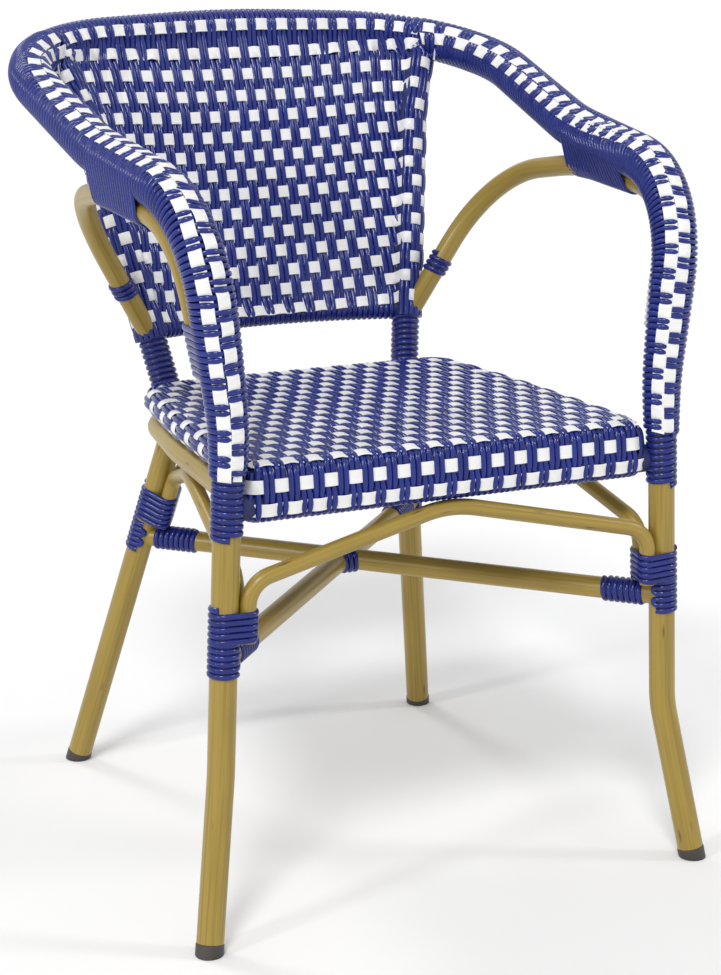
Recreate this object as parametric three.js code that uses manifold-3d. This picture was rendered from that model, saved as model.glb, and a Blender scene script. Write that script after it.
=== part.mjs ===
// Woven bistro armchair: a bent and welded tube frame, bound at its joints and dressed in flat strand.
// Millimetres, +Z up, the sitter faces -Y, the floor is z = 0 and the chair is mirrored about x = 0.
// "right" pieces stand at +X. A size named ..._setback is a y, one named ..._reach is a y in front of 0.
import * as THREE from 'three';
import { mergeVertices } from 'three/addons/utils/BufferGeometryUtils.js';
import Module from 'manifold-3d';

const wasm = await Module();
wasm.setup();

// The gap between pieces that seat on each other, the overrun of a cutting shape, and how far a facet
// may stray when slivers are merged.
const seat_gap = 0.3;
const overrun = 4;
const weld_share = 0.001;
const facet_slack = 0.05;

// Tubes by outer diameter.
const frame_tube = 26.5;
const frame_tube_wall = 1.6;
const stretcher_tube = 22;
const arch_tube = 22;
const brace_tube = 16;
const seat_ring_tube = 20;
const back_rail_tube = 17.6;

// Facets round a tube and the most that one facet of a bend turns.
const tube_sides = 10;
const thin_tube_sides = 8;
const bend_facet = Math.PI / 9;

// Front legs, arms and back are one bent tube: its bend points on the right side.
const hoop = {
  foot_half_span: 269, foot_reach: 265,
  knee_half_span: 243.5, knee_reach: 236, knee_height: 165, knee_bend: 130,
  post_half_span: 230, post_reach: 233, post_height: 502, post_bend: 300,
  shoulder_half_span: 253, shoulder_reach: 224, shoulder_height: 699, shoulder_bend: 107,
  arm_half_span: 265, arm_setback: 7, arm_height: 725, arm_bend: 300,
  elbow_half_span: 274, elbow_setback: 191, elbow_height: 778, elbow_bend: 150,
  corner_half_span: 228, corner_setback: 311, corner_height: 805, corner_bend: 140,
  back_setback: 324, back_height: 814, back_bend: 900,
};

// The rear legs lean forward to the seat, then back again as the stiles of the back panel.
const rear_leg = {
  foot_half_span: 218, foot_setback: 266,
  seat_half_span: 136, seat_setback: 148, seat_bend_height: 416, seat_bend: 100,
  stile_half_span: 192, stile_setback: 248, stile_height: 722, stile_bend: 90,
  top_half_span: 221,
};

// Seat: a ring tube inside the woven pad, resting on a rail of frame tube.
const seat_height = 462;
const strand_cover = 3.2;
const seat_sheet = 5;
const seat_plan = {
  post_inset: 24.6, post_setback: 9.8, front_corner: 27,
  side_half_width: 189, side_setback: 0, side_bend: 400,
  leg_outset: 28, rear_corner: 36,
};
const front_rail_inset = 8;
const ring_seam_opening = 14;

// Back panel, woven between the hoop, the stiles and the lower rail.
const back_rail_height = 509;
const back_rail_bow = 29;
const back_panel = {
  thickness: 6.6, rail_inset: 5, stile_inset: 9, hoop_inset: 10, stile_cover_height: 502,
  half_width_of_roll: 228, columns: 6, rows: 4,
};

// Outer radii of the woven covers of the hoop.
const sleeve = {
  start_height: 450.5, seat_radius: 18.3, post_radius: 23, arm_radius: 24.4, elbow_radius: 23.4,
  back_radius: 22.4,
};

// Arches between the stiles and the arms: bend points on the right side.
const arch = {
  stile_height: 498,
  rise_half_span: 245, rise_setback: 149, rise_height: 660, rise_bend: 125,
  crown_half_span: 266, crown_setback: -10, crown_bend: 300,
  drop_half_span: 262, drop_reach: 190, drop_fall: 9, drop_bend: 76,
  end_height: 548, end_outward_share: 0.2,
  wrap_rear_setback: 22, wrap_front_reach: 110, post_wrap_length: 47,
};

// Stretchers cross below the seat; arched braces spring from the same joints.
const stretcher_height = 280;
const brace = { end_rise: 15.4, knee_rise: 72, knee_bend: 28, crown_bend: 120, front_crown_reach: 227 };
const brace_end_way = {
  front: new THREE.Vector3(-0.96, -0.28, 0).normalize(),
  rear: new THREE.Vector3(-0.98, 0.2, 0).normalize(),
  side_at_front: new THREE.Vector3(-0.78, 0.62, 0).normalize(),
  side_at_rear: new THREE.Vector3(-0.36, -0.93, 0).normalize(),
};

// Binding strand: width along the tube it binds, thickness, and the free gap between turns.
const strand = { width: 6.9, thickness: 3, turn_gap: 0.55, crown_share: 0.56 };
const thin_strand = { width: 5.1, thickness: 2.6, turn_gap: 0.55, crown_share: 0.56 };
const turn_steps = 10;
const row_steps = 12;
const joint_turns = { front: 4.5, rear: 4.5 };
const rear_joint_tail = 0.5;
const stretcher_rows = 4;
const collar = { turns: 4, front_clearance: 2, rear_clearance: 6.5 };
const seat_rows = { count: 6, first_angle: Math.PI * 1.24, span: Math.PI * 1.2 };
const stile_binding = { height: 466.4, turns: 5 };
const arch_collar = { distance: 62, turns: 3 };
const crossing_turns = 2;

// Foot caps.
const foot_cap = { height: 11, lip: 0.4, edge_round: 2.2, stem_length: 18 };

const frame_radius = frame_tube / 2;
const bore_radius = frame_radius - frame_tube_wall;
const stretcher_radius = stretcher_tube / 2;
const arch_radius = arch_tube / 2;
const brace_radius = brace_tube / 2;
const seat_ring_radius = seat_ring_tube / 2;
const back_rail_radius = back_rail_tube / 2;

const finishes = {
  bamboo: { color: 0xa68a34, roughness: 0.38, metalness: 0.1 },
  bare_tube: { color: 0xb9bcc0, roughness: 0.45, metalness: 0.8 },
  weave: { color: 0x2b3c8c, roughness: 0.3, metalness: 0 },
  binding: { color: 0x2a378a, roughness: 0.28, metalness: 0 },
  cap: { color: 0x35312f, roughness: 0.6, metalness: 0 },
};

const vec = (x, y, z) => new THREE.Vector3(x, y, z);
const flat = (x, y) => new THREE.Vector2(x, y);
const up = vec(0, 0, 1);
const sideways = vec(1, 0, 0);
const mirrored = (point) => vec(-point.x, point.y, point.z);
const full_turn = 2 * Math.PI;

// Points of a bent tube: straight lengths between corners, each corner rounded to its bend radius.
function bentPoints(corners) {
  return corners.flatMap(({ at, bend }, i) => {
    if (!bend) return [at.clone()];
    const back = corners[i - 1].at.clone().sub(at).normalize();
    const ahead = corners[i + 1].at.clone().sub(at).normalize();
    const turn = Math.PI - back.angleTo(ahead);
    const centre_way = back.clone().add(ahead).normalize();
    const centre = at.clone().addScaledVector(centre_way, bend / Math.cos(turn / 2));
    const spoke = at.clone().addScaledVector(back, bend * Math.tan(turn / 2)).sub(centre);
    const steps = Math.max(1, Math.ceil(turn / bend_facet));
    return Array.from({ length: steps + 1 }, (_, j) => {
      const angle = (turn * j) / steps;
      return centre.clone().addScaledVector(spoke, Math.cos(angle))
        .addScaledVector(back, -bend * Math.sin(angle));
    });
  });
}

// Stations carry a point, its tangent, its length along the run, and a normal that is carried from
// the middle to both ends without twist, so that a symmetric run has symmetric facets.
function makeRun(points, reference) {
  const last = points.length - 1;
  const chord = (i) => points[i + 1].clone().sub(points[i]).normalize();
  let length = 0;
  const run = points.map((point, i) => {
    const tangent = vec(0, 0, 0);
    if (i > 0) tangent.add(chord(i - 1));
    if (i < last) tangent.add(chord(i));
    if (i > 0) length += point.distanceTo(points[i - 1]);
    return { point, tangent: tangent.normalize(), length };
  });
  const carry = (stations) => {
    let normal = reference;
    stations.forEach((station) => {
      normal = normal.clone().projectOnPlane(station.tangent).normalize();
      station.normal = normal;
    });
  };
  carry(run.slice(Math.ceil(last / 2)));
  carry(run.slice(0, Math.floor(last / 2) + 1).reverse());
  return run;
}

const bentRun = (corners, reference = sideways) => makeRun(bentPoints(corners), reference);
const runLength = (run) => run[run.length - 1].length;
const mirroredCorners = (corners) => corners.map(({ at, bend }) => ({ at: mirrored(at), bend })).reverse();

function stationAt(run, length) {
  const found = run.findIndex((station) => station.length > length);
  const next = Math.max(1, found < 0 ? run.length - 1 : found);
  const before = run[next - 1];
  const after = run[next];
  const share = (length - before.length) / (after.length - before.length);
  return {
    point: before.point.clone().lerp(after.point, share),
    tangent: before.tangent.clone().lerp(after.tangent, share).normalize(),
    normal: before.normal.clone().lerp(after.normal, share).normalize(),
    length,
  };
}

// Part of a run between two lengths, with the run's own stations and frames.
function cutRun(run, from, to) {
  const inside = run.filter((station) => station.length > from && station.length < to);
  return [stationAt(run, from), ...inside, stationAt(run, to)];
}

// The length along a run at which a coordinate first passes a value.
function lengthWhere(run, axis, value) {
  const passes = (i) => (run[i - 1].point[axis] - value) * (run[i].point[axis] - value) <= 0;
  const next = run.findIndex((_, i) => i > 0 && passes(i));
  const before = run[next - 1];
  const after = run[next];
  const share = (value - before.point[axis]) / (after.point[axis] - before.point[axis]);
  return before.length + share * (after.length - before.length);
}

const stationWhere = (run, axis, value) => stationAt(run, lengthWhere(run, axis, value));
const pointWhere = (run, axis, value) => stationWhere(run, axis, value).point;
const binormalOf = (station) => station.tangent.clone().cross(station.normal);

// A spot of a station's cross-section plane, in space.
function placed(station, spot) {
  return station.point.clone()
    .addScaledVector(station.normal, spot.x)
    .addScaledVector(binormalOf(station), spot.y);
}

// A direction in space as it lies in a station's cross-section plane.
const inPlane = (station, way) => flat(way.dot(station.normal), way.dot(binormalOf(station)));

// A run lengthened straight at both ends, for a cutting shape.
function lengthened(run, extra = overrun) {
  const first = run[0];
  const last = run[run.length - 1];
  const head = { ...first, point: first.point.clone().addScaledVector(first.tangent, -extra) };
  const tail = { ...last, point: last.point.clone().addScaledVector(last.tangent, extra) };
  return [head, ...run, tail];
}

// A run as an extrude path that keeps its stations and frames.
class RunPath extends THREE.Curve {
  constructor(run) {
    super();
    this.run = run;
  }

  getPoint(share) {
    return this.run[Math.round(share * (this.run.length - 1))].point.clone();
  }

  getSpacedPoints() {
    return this.run.map((station) => station.point.clone());
  }

  computeFrenetFrames() {
    return {
      tangents: this.run.map((station) => station.tangent.clone()),
      normals: this.run.map((station) => station.normal.clone()),
      binormals: this.run.map(binormalOf),
    };
  }
}

// A closed body from three.js geometry, welded and without collapsed faces.
function solid(geometry) {
  const bare = geometry.clone();
  bare.deleteAttribute('normal');
  bare.deleteAttribute('uv');
  const merged = mergeVertices(bare, seat_gap * weld_share);
  const corners = merged.index.array;
  const triangles = [];
  for (let i = 0; i < corners.length; i += 3) {
    const [a, b, c] = corners.slice(i, i + 3);
    if (a !== b && b !== c && c !== a) triangles.push(a, b, c);
  }
  return new wasm.Manifold(new wasm.Mesh({
    numProp: 3,
    vertProperties: new Float32Array(merged.attributes.position.array),
    triVerts: new Uint32Array(triangles),
  }));
}

const joined = (...bodies) => bodies.reduce((all, body) => all.add(body));
const without = (body, ...tools) => tools.reduce((left, tool) => left.subtract(tool), body);
const mirrorOf = (body) => body.mirror([1, 0, 0]);
const withMirror = (body) => joined(body, mirrorOf(body));

function extrudeAlong(run, outline) {
  const extrudePath = new RunPath(run);
  return solid(new THREE.ExtrudeGeometry(
    new THREE.Shape(outline), { steps: run.length - 1, extrudePath }));
}

function roundOutline(radius, sides) {
  return Array.from({ length: sides }, (_, i) => {
    const angle = (full_turn * i) / sides;
    return flat(radius * Math.cos(angle), radius * Math.sin(angle));
  });
}

const tube = (run, radius, sides = tube_sides) => extrudeAlong(run, roundOutline(radius, sides));

// A closed skin through rings of one even count, its two end faces laid in strips.
function loft(rings) {
  const count = rings[0].length;
  const index = [];
  const addQuad = (a, b, c, d) => index.push(a, b, c, a, c, d);
  for (let i = 0; i + 1 < rings.length; i += 1) {
    for (let j = 0; j < count; j += 1) {
      const a = i * count + j;
      const b = i * count + ((j + 1) % count);
      addQuad(a, b, b + count, a + count);
    }
  }
  const last = (rings.length - 1) * count;
  for (let j = 0; j + 1 < count / 2; j += 1) {
    const far = count - 1 - j;
    addQuad(j, far, far - 1, j + 1);
    addQuad(last + j, last + j + 1, last + far - 1, last + far);
  }
  const geometry = new THREE.BufferGeometry();
  const places = rings.flat().flatMap((point) => point.toArray());
  geometry.setAttribute('position', new THREE.Float32BufferAttribute(places, 3));
  geometry.setIndex(index);
  return solid(geometry);
}

// A round cover whose radius changes along its run.
function cover(run, radiusAt, sides = tube_sides) {
  return loft(run.map((station) => (
    roundOutline(radiusAt(station), sides).map((spot) => placed(station, spot)))));
}

// The disc that holds a line pulled taut round several out farthest in the direction of an angle.
function widestDisc(discs, angle) {
  const out = flat(Math.cos(angle), Math.sin(angle));
  const reaches = discs.map(({ centre, radius }) => centre.dot(out) + radius);
  return reaches.indexOf(Math.max(...reaches));
}

function rimSpot({ centre, radius }, angle) {
  return centre.clone().add(flat(Math.cos(angle), Math.sin(angle)).multiplyScalar(radius));
}

const tautSpot = (discs, angle) => rimSpot(discs[widestDisc(discs, angle)], angle);

// The angle, near another, at which the taut line leaves one disc for the next.
function leavingAngle(disc, next, near) {
  const way = next.centre.clone().sub(disc.centre);
  const half = Math.acos((disc.radius - next.radius) / way.length());
  const bearing = Math.atan2(way.y, way.x);
  const [best] = [bearing + half, bearing - half]
    .map((angle) => angle + full_turn * Math.round((near - angle) / full_turn))
    .sort((one, other) => Math.abs(one - near) - Math.abs(other - near));
  return best;
}

// Runs of the frame. The hoop starts at the right foot and ends at the left one.
const hoop_half = [
  { at: vec(hoop.foot_half_span, -hoop.foot_reach, 0) },
  { at: vec(hoop.knee_half_span, -hoop.knee_reach, hoop.knee_height), bend: hoop.knee_bend },
  { at: vec(hoop.post_half_span, -hoop.post_reach, hoop.post_height), bend: hoop.post_bend },
  { at: vec(hoop.shoulder_half_span, -hoop.shoulder_reach, hoop.shoulder_height), bend: hoop.shoulder_bend },
  { at: vec(hoop.arm_half_span, hoop.arm_setback, hoop.arm_height), bend: hoop.arm_bend },
  { at: vec(hoop.elbow_half_span, hoop.elbow_setback, hoop.elbow_height), bend: hoop.elbow_bend },
  { at: vec(hoop.corner_half_span, hoop.corner_setback, hoop.corner_height), bend: hoop.corner_bend },
];
const hoop_run = bentRun([
  ...hoop_half,
  { at: vec(0, hoop.back_setback, hoop.back_height), bend: hoop.back_bend },
  ...mirroredCorners(hoop_half),
], up);
const hoop_length = runLength(hoop_run);

const rear_leg_run = bentRun([
  { at: vec(rear_leg.foot_half_span, rear_leg.foot_setback, 0) },
  { at: vec(rear_leg.seat_half_span, rear_leg.seat_setback, rear_leg.seat_bend_height), bend: rear_leg.seat_bend },
  { at: vec(rear_leg.stile_half_span, rear_leg.stile_setback, rear_leg.stile_height), bend: rear_leg.stile_bend },
  { at: pointWhere(hoop_run, 'x', rear_leg.top_half_span) },
]);
const stile_top = rear_leg_run[rear_leg_run.length - 1].point;

const frontLegAt = (height) => pointWhere(hoop_run, 'z', height);
const rearLegAt = (height) => pointWhere(rear_leg_run, 'z', height);

// Seat levels follow from the seat height down through pad, ring tube and rail.
const ring_cover_radius = seat_ring_radius + seat_gap + strand_cover;
const seat_ring_height = seat_height - ring_cover_radius;
const seat_rail_height = seat_ring_height - ring_cover_radius - seat_gap - frame_radius;
const apron_radius = frame_radius + seat_gap + strand_cover;
const seat_front = frontLegAt(seat_ring_height).y + seat_plan.post_setback;

// The right half of the seat's plan at a height: its rear edge bears on the front of the rear leg.
function seatCorners(height, radius) {
  const leg = stationWhere(rear_leg_run, 'z', height);
  const lean = Math.hypot(leg.tangent.y, leg.tangent.z) / leg.tangent.z;
  const rear_edge = leg.point.y - (frame_radius + radius + seat_gap) * lean;
  const front_half_width = frontLegAt(height).x - seat_plan.post_inset;
  const rear_half_width = leg.point.x + seat_plan.leg_outset;
  return [
    { at: vec(front_half_width, seat_front, height), bend: seat_plan.front_corner },
    { at: vec(seat_plan.side_half_width, seat_plan.side_setback, height), bend: seat_plan.side_bend },
    { at: vec(rear_half_width, rear_edge, height), bend: seat_plan.rear_corner },
    { at: vec(seat_gap / 2, rear_edge, height) },
  ];
}

const ring_corners = seatCorners(seat_ring_height, ring_cover_radius);
const seat_ring_run = bentRun([...mirroredCorners(ring_corners), ...ring_corners], up);

const [rail_front, ...rail_rest] = seatCorners(seat_rail_height, frame_radius).slice(0, -1);
const rail_corners = [{ at: rail_front.at }, ...rail_rest];
const side_rail_run = bentRun([...rail_corners, ...mirroredCorners(rail_corners)], up);

const front_rail_end = frontLegAt(seat_rail_height).setY(seat_front);
front_rail_end.x -= front_rail_inset;
const front_rail_run = makeRun([front_rail_end, mirrored(front_rail_end)], up);

const back_rail_run = (() => {
  const end = rearLegAt(back_rail_height);
  const radius = (end.x ** 2 + back_rail_bow ** 2) / (2 * back_rail_bow);
  const centre_setback = end.y + back_rail_bow - radius;
  const reach = Math.asin(end.x / radius);
  const steps = 8;
  return makeRun(Array.from({ length: steps + 1 }, (_, i) => {
    const angle = reach * (1 - (2 * i) / steps);
    const point = vec(Math.sin(angle), Math.cos(angle), 0).multiplyScalar(radius);
    return point.add(vec(0, centre_setback, back_rail_height));
  }), up);
})();

const arch_run = (() => {
  const underArm = (half_span, setback, fall) => {
    const arm = pointWhere(hoop_run, 'y', setback);
    return vec(half_span, setback, arm.z - sleeve.arm_radius - seat_gap - arch_radius - fall);
  };
  const crown = underArm(arch.crown_half_span, arch.crown_setback, 0);
  const post_way = vec(arch.end_outward_share, Math.sqrt(1 - arch.end_outward_share ** 2), 0);
  const end = frontLegAt(arch.end_height)
    .addScaledVector(post_way, frame_radius + seat_gap + arch_radius);
  return bentRun([
    { at: rearLegAt(arch.stile_height) },
    { at: vec(arch.rise_half_span, arch.rise_setback, arch.rise_height), bend: arch.rise_bend },
    { at: crown, bend: arch.crown_bend },
    { at: vec(arch.drop_half_span, -arch.drop_reach, crown.z - arch.drop_fall), bend: arch.drop_bend },
    { at: end },
  ]);
})();
const arch_from_post = makeRun(arch_run.map(({ point }) => point).reverse(), sideways);

const stretcher_run = makeRun([
  frontLegAt(stretcher_height),
  mirrored(rearLegAt(stretcher_height)),
], up);
const cross_run = makeRun(stretcher_run.map(({ point }) => mirrored(point)), up);

// Arched braces: a short upright beside each leg, a knee, and one low crown.
const brace_offset = frame_radius + seat_gap + brace_radius;
const brace_end_height = stretcher_height + brace.end_rise;
const brace_knee_height = stretcher_height + brace.knee_rise;

function besideLeg(run, height, way) {
  const leg = stationWhere(run, 'z', height);
  const lean = Math.sqrt(1 - way.dot(leg.tangent) ** 2);
  return leg.point.addScaledVector(way, brace_offset / lean);
}

// The end and the knee of an arched brace beside a leg.
const braceFoot = (run, way) => [brace_end_height, brace_knee_height].map((height) => (
  besideLeg(run, height, way)));

function braceRun([first_end, first_knee], [last_end, last_knee], crown_plan, ceiling) {
  const slope = Math.atan((ceiling - brace_knee_height) / (first_knee.distanceTo(last_knee) / 2));
  const bend_loss = brace.crown_bend * (1 / Math.cos(slope) - 1);
  const crown = crown_plan.clone().setZ(ceiling - seat_gap - brace_radius + bend_loss);
  return bentRun([
    { at: first_end },
    { at: first_knee, bend: brace.knee_bend },
    { at: crown, bend: brace.crown_bend },
    { at: last_knee, bend: brace.knee_bend },
    { at: last_end },
  ], up);
}

const rail_underside = seat_rail_height - frame_radius;
const apron_underside = seat_rail_height - apron_radius;
const front_foot = braceFoot(hoop_run, brace_end_way.front);
const rear_foot = braceFoot(rear_leg_run, brace_end_way.rear);
const front_brace_run = braceRun(
  front_foot, front_foot.map(mirrored), vec(0, -brace.front_crown_reach, 0), apron_underside);
const rear_brace_run = braceRun(
  rear_foot, rear_foot.map(mirrored), pointWhere(side_rail_run, 'x', 0), rail_underside);
const side_brace_middle = frontLegAt(brace_knee_height).lerp(rearLegAt(brace_knee_height), 1 / 2);
const side_brace_run = braceRun(
  braceFoot(hoop_run, brace_end_way.side_at_front),
  braceFoot(rear_leg_run, brace_end_way.side_at_rear),
  pointWhere(side_rail_run, 'y', side_brace_middle.y),
  rail_underside,
);

// Cutting shapes that leave the seating gap round a tube.
const hoop_cutter = tube(lengthened(hoop_run), frame_radius + seat_gap);
const leg_cutter = tube(lengthened(rear_leg_run), frame_radius + seat_gap);
const leg_cutters = withMirror(leg_cutter);
const arch_cutter = tube(lengthened(arch_run, seat_gap), arch_radius + seat_gap, thin_tube_sides);
const front_rail_cutter = tube(lengthened(front_rail_run), frame_radius + seat_gap);

// Frame pieces.
const foot_start = foot_cap.height + seat_gap;
const bore_depth = foot_start + foot_cap.stem_length + seat_gap;
const footBore = (run) => tube(cutRun(run, foot_start / 2, bore_depth), bore_radius);

function buildHoop() {
  const body = tube(cutRun(hoop_run, foot_start, hoop_length - foot_start), frame_radius);
  return without(body, withMirror(footBore(hoop_run)));
}

function buildRearLeg() {
  const body = tube(cutRun(rear_leg_run, foot_start, runLength(rear_leg_run)), frame_radius);
  return without(body, footBore(rear_leg_run), hoop_cutter);
}

const buildSeatRing = () => tube(seat_ring_run, seat_ring_radius, thin_tube_sides);
const buildFrontRail = () => without(tube(front_rail_run, frame_radius), hoop_cutter);
const buildSideRail = () => without(tube(side_rail_run, frame_radius), front_rail_cutter);
const buildBackRail = () => without(tube(back_rail_run, back_rail_radius, thin_tube_sides), leg_cutters);
const buildArch = () => without(tube(arch_run, arch_radius, thin_tube_sides), leg_cutter);
const buildStretcher = () => without(tube(stretcher_run, stretcher_radius), hoop_cutter, leg_cutters);
const buildBrace = (run) => tube(run, brace_radius, thin_tube_sides);

// The crossing stretcher is two halves that butt on the through one.
function buildStretcherHalf(run) {
  const through = tube(lengthened(stretcher_run), stretcher_radius + seat_gap);
  return without(tube(run, stretcher_radius), through, hoop_cutter, leg_cutters);
}

// A foot cap: a rounded rim with a stem that plugs the tube, cut flat where it meets the floor.
function buildFootCap({ point, tangent }) {
  const radius = frame_radius + foot_cap.lip;
  const stem_radius = bore_radius * Math.cos(Math.PI / tube_sides) - seat_gap;
  const profile = [
    [0, -foot_cap.height],
    [radius, -foot_cap.height],
    [radius, foot_cap.height - foot_cap.edge_round],
    [radius - foot_cap.lip * 2, foot_cap.height],
    [stem_radius, foot_cap.height],
    [stem_radius, foot_cap.height + foot_cap.stem_length],
    [0, foot_cap.height + foot_cap.stem_length],
  ].map(([across, along]) => flat(across, along));
  const cap = new THREE.LatheGeometry(profile, tube_sides);
  cap.applyQuaternion(new THREE.Quaternion().setFromUnitVectors(vec(0, 1, 0), tangent));
  cap.translate(point.x, point.y, 0);
  const block_size = frame_tube * 4;
  const floor = new THREE.BoxGeometry(block_size, block_size, block_size);
  floor.translate(point.x, point.y, -block_size / 2);
  return without(solid(cap), solid(floor));
}

// Woven covers of the hoop: arm sleeves on both sides and the back roll between them.
const sleeve_start = lengthWhere(hoop_run, 'z', sleeve.start_height);
const sleeve_end = lengthWhere(hoop_run, 'x', back_panel.half_width_of_roll);
const sleeve_marks = [
  [sleeve_start, sleeve.seat_radius],
  [lengthWhere(hoop_run, 'z', hoop.shoulder_height - hoop.shoulder_bend), sleeve.post_radius],
  [lengthWhere(hoop_run, 'y', hoop.arm_setback), sleeve.arm_radius],
  [lengthWhere(hoop_run, 'y', hoop.elbow_setback), sleeve.elbow_radius],
  [hoop_length / 2, sleeve.back_radius],
];

function sleeveRadius({ length }) {
  const near = Math.min(length, hoop_length - length);
  const next = Math.max(1, sleeve_marks.findIndex(([mark]) => mark >= near));
  const [low, low_radius] = sleeve_marks[next - 1];
  const [high, high_radius] = sleeve_marks[next];
  return THREE.MathUtils.mapLinear(near, low, high, low_radius, high_radius);
}

const sleeve_run = cutRun(hoop_run, sleeve_start, sleeve_end - seat_gap);
const sleeve_cutters = withMirror(
  cover(lengthened(sleeve_run, seat_gap), (station) => sleeveRadius(station) + seat_gap));

// The arm sleeve also goes round the arch: under the arm, and where the arch lies against the post.
const arch_cover_radius = arch_radius + seat_gap + strand_cover;

function buildUnderArmWrap() {
  const rings = 6;
  return loft(Array.from({ length: rings }, (_, i) => {
    const setback = THREE.MathUtils.lerp(arch.wrap_rear_setback, -arch.wrap_front_reach, i / (rings - 1));
    const arm = stationWhere(hoop_run, 'y', setback);
    const arch_point = pointWhere(arch_run, 'y', setback);
    const discs = [
      { centre: flat(arm.point.x, arm.point.z), radius: sleeveRadius(arm) },
      { centre: flat(arch_point.x, arch_point.z), radius: arch_cover_radius },
    ];
    return Array.from({ length: tube_sides }, (__, j) => {
      const spot = tautSpot(discs, (full_turn * j) / tube_sides);
      return vec(spot.x, setback, spot.y);
    });
  }));
}

function buildArmSleeve() {
  const post_wrap_run = lengthened(cutRun(arch_from_post, 0, arch.post_wrap_length), strand_cover).slice(0, -1);
  const body = joined(
    cover(sleeve_run, sleeveRadius),
    buildUnderArmWrap(),
    cover(post_wrap_run, () => arch_cover_radius, thin_tube_sides),
  );
  return without(body, hoop_cutter, arch_cutter, leg_cutter);
}

// The seat: a roll round the ring tube, a sheet inside it, and an apron down over the front rail.
function buildSeat() {
  const middle = runLength(seat_ring_run) / 2;
  const half_run = lengthened(cutRun(seat_ring_run, middle, runLength(seat_ring_run)), strand_cover);
  const plan = seat_ring_run.map(({ point }) => flat(point.x, point.y));
  const sheet = new THREE.ExtrudeGeometry(new THREE.Shape(plan), { depth: seat_sheet, bevelEnabled: false });
  sheet.translate(0, 0, seat_height - seat_sheet);
  const discs = [
    { centre: flat(seat_ring_height, 0), radius: ring_cover_radius },
    { centre: flat(seat_rail_height, 0), radius: apron_radius },
  ];
  const apron = loft(front_rail_run.map(({ point }) => (
    Array.from({ length: tube_sides }, (_, j) => {
      const spot = tautSpot(discs, (full_turn * j) / tube_sides);
      return vec(point.x, point.y + spot.y, spot.x);
    }))));
  const under_apron = lengthWhere(hoop_run, 'z', apron_underside - overrun);
  const seam = seat_ring_run[0].point;
  const seam_window = new THREE.BoxGeometry(ring_seam_opening, ring_seam_opening, ring_cover_radius);
  seam_window.translate(0, seam.y, seam.z - ring_cover_radius);
  return without(
    joined(withMirror(tube(half_run, ring_cover_radius)), solid(sheet), apron),
    solid(seam_window),
    withMirror(tube(half_run, seat_ring_radius + seat_gap, thin_tube_sides)),
    tube(side_rail_run, frame_radius + seat_gap),
    front_rail_cutter,
    withMirror(tube(cutRun(hoop_run, under_apron, sleeve_start), sleeve.seat_radius + seat_gap)),
    sleeve_cutters,
  );
}

// The back panel's sheet: a bowed grid from the lower rail to the hoop whose edges follow the stiles.
function buildPanelSheet() {
  const { columns, rows, thickness } = back_panel;
  const foot = rearLegAt(back_rail_height);
  const head_start = lengthWhere(hoop_run, 'x', rear_leg.top_half_span);
  const spotAt = (column, row) => {
    const across = column / columns;
    const rise = row / rows;
    const side = 1 - 2 * across;
    const low = stationAt(back_rail_run, across * runLength(back_rail_run)).point;
    const high = stationAt(hoop_run, THREE.MathUtils.lerp(head_start, hoop_length - head_start, across)).point;
    const level = THREE.MathUtils.lerp(foot.z, stile_top.z, rise);
    const edge = row < rows ? rearLegAt(level) : stile_top.clone();
    const bow = edge.sub(foot.clone().lerp(stile_top, rise));
    const inset = THREE.MathUtils.lerp(
      THREE.MathUtils.lerp(back_panel.rail_inset, back_panel.hoop_inset, rise),
      back_panel.stile_inset,
      Math.abs(side),
    );
    return low.lerp(high, rise).add(vec(bow.x * side, bow.y - inset, bow.z));
  };
  const rowOf = (row, offset) => Array.from({ length: columns + 1 }, (_, column) => (
    spotAt(column, row).add(vec(0, offset, 0))));
  return loft(Array.from({ length: rows + 1 }, (_, row) => (
    [...rowOf(row, thickness / 2), ...rowOf(row, -thickness / 2).reverse()])));
}

function buildBack() {
  const roll = cover(cutRun(hoop_run, sleeve_end, hoop_length - sleeve_end), sleeveRadius);
  const rail_roll = tube(back_rail_run, back_rail_radius + seat_gap + strand_cover, thin_tube_sides);
  const cover_start = lengthWhere(rear_leg_run, 'z', back_panel.stile_cover_height);
  const stile_roll = tube(cutRun(rear_leg_run, cover_start, runLength(rear_leg_run)), apron_radius);
  return without(
    joined(roll, rail_roll, withMirror(stile_roll), buildPanelSheet()),
    hoop_cutter,
    leg_cutters,
    tube(lengthened(back_rail_run), back_rail_radius + seat_gap, thin_tube_sides),
    withMirror(arch_cutter),
    sleeve_cutters,
  );
}

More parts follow.
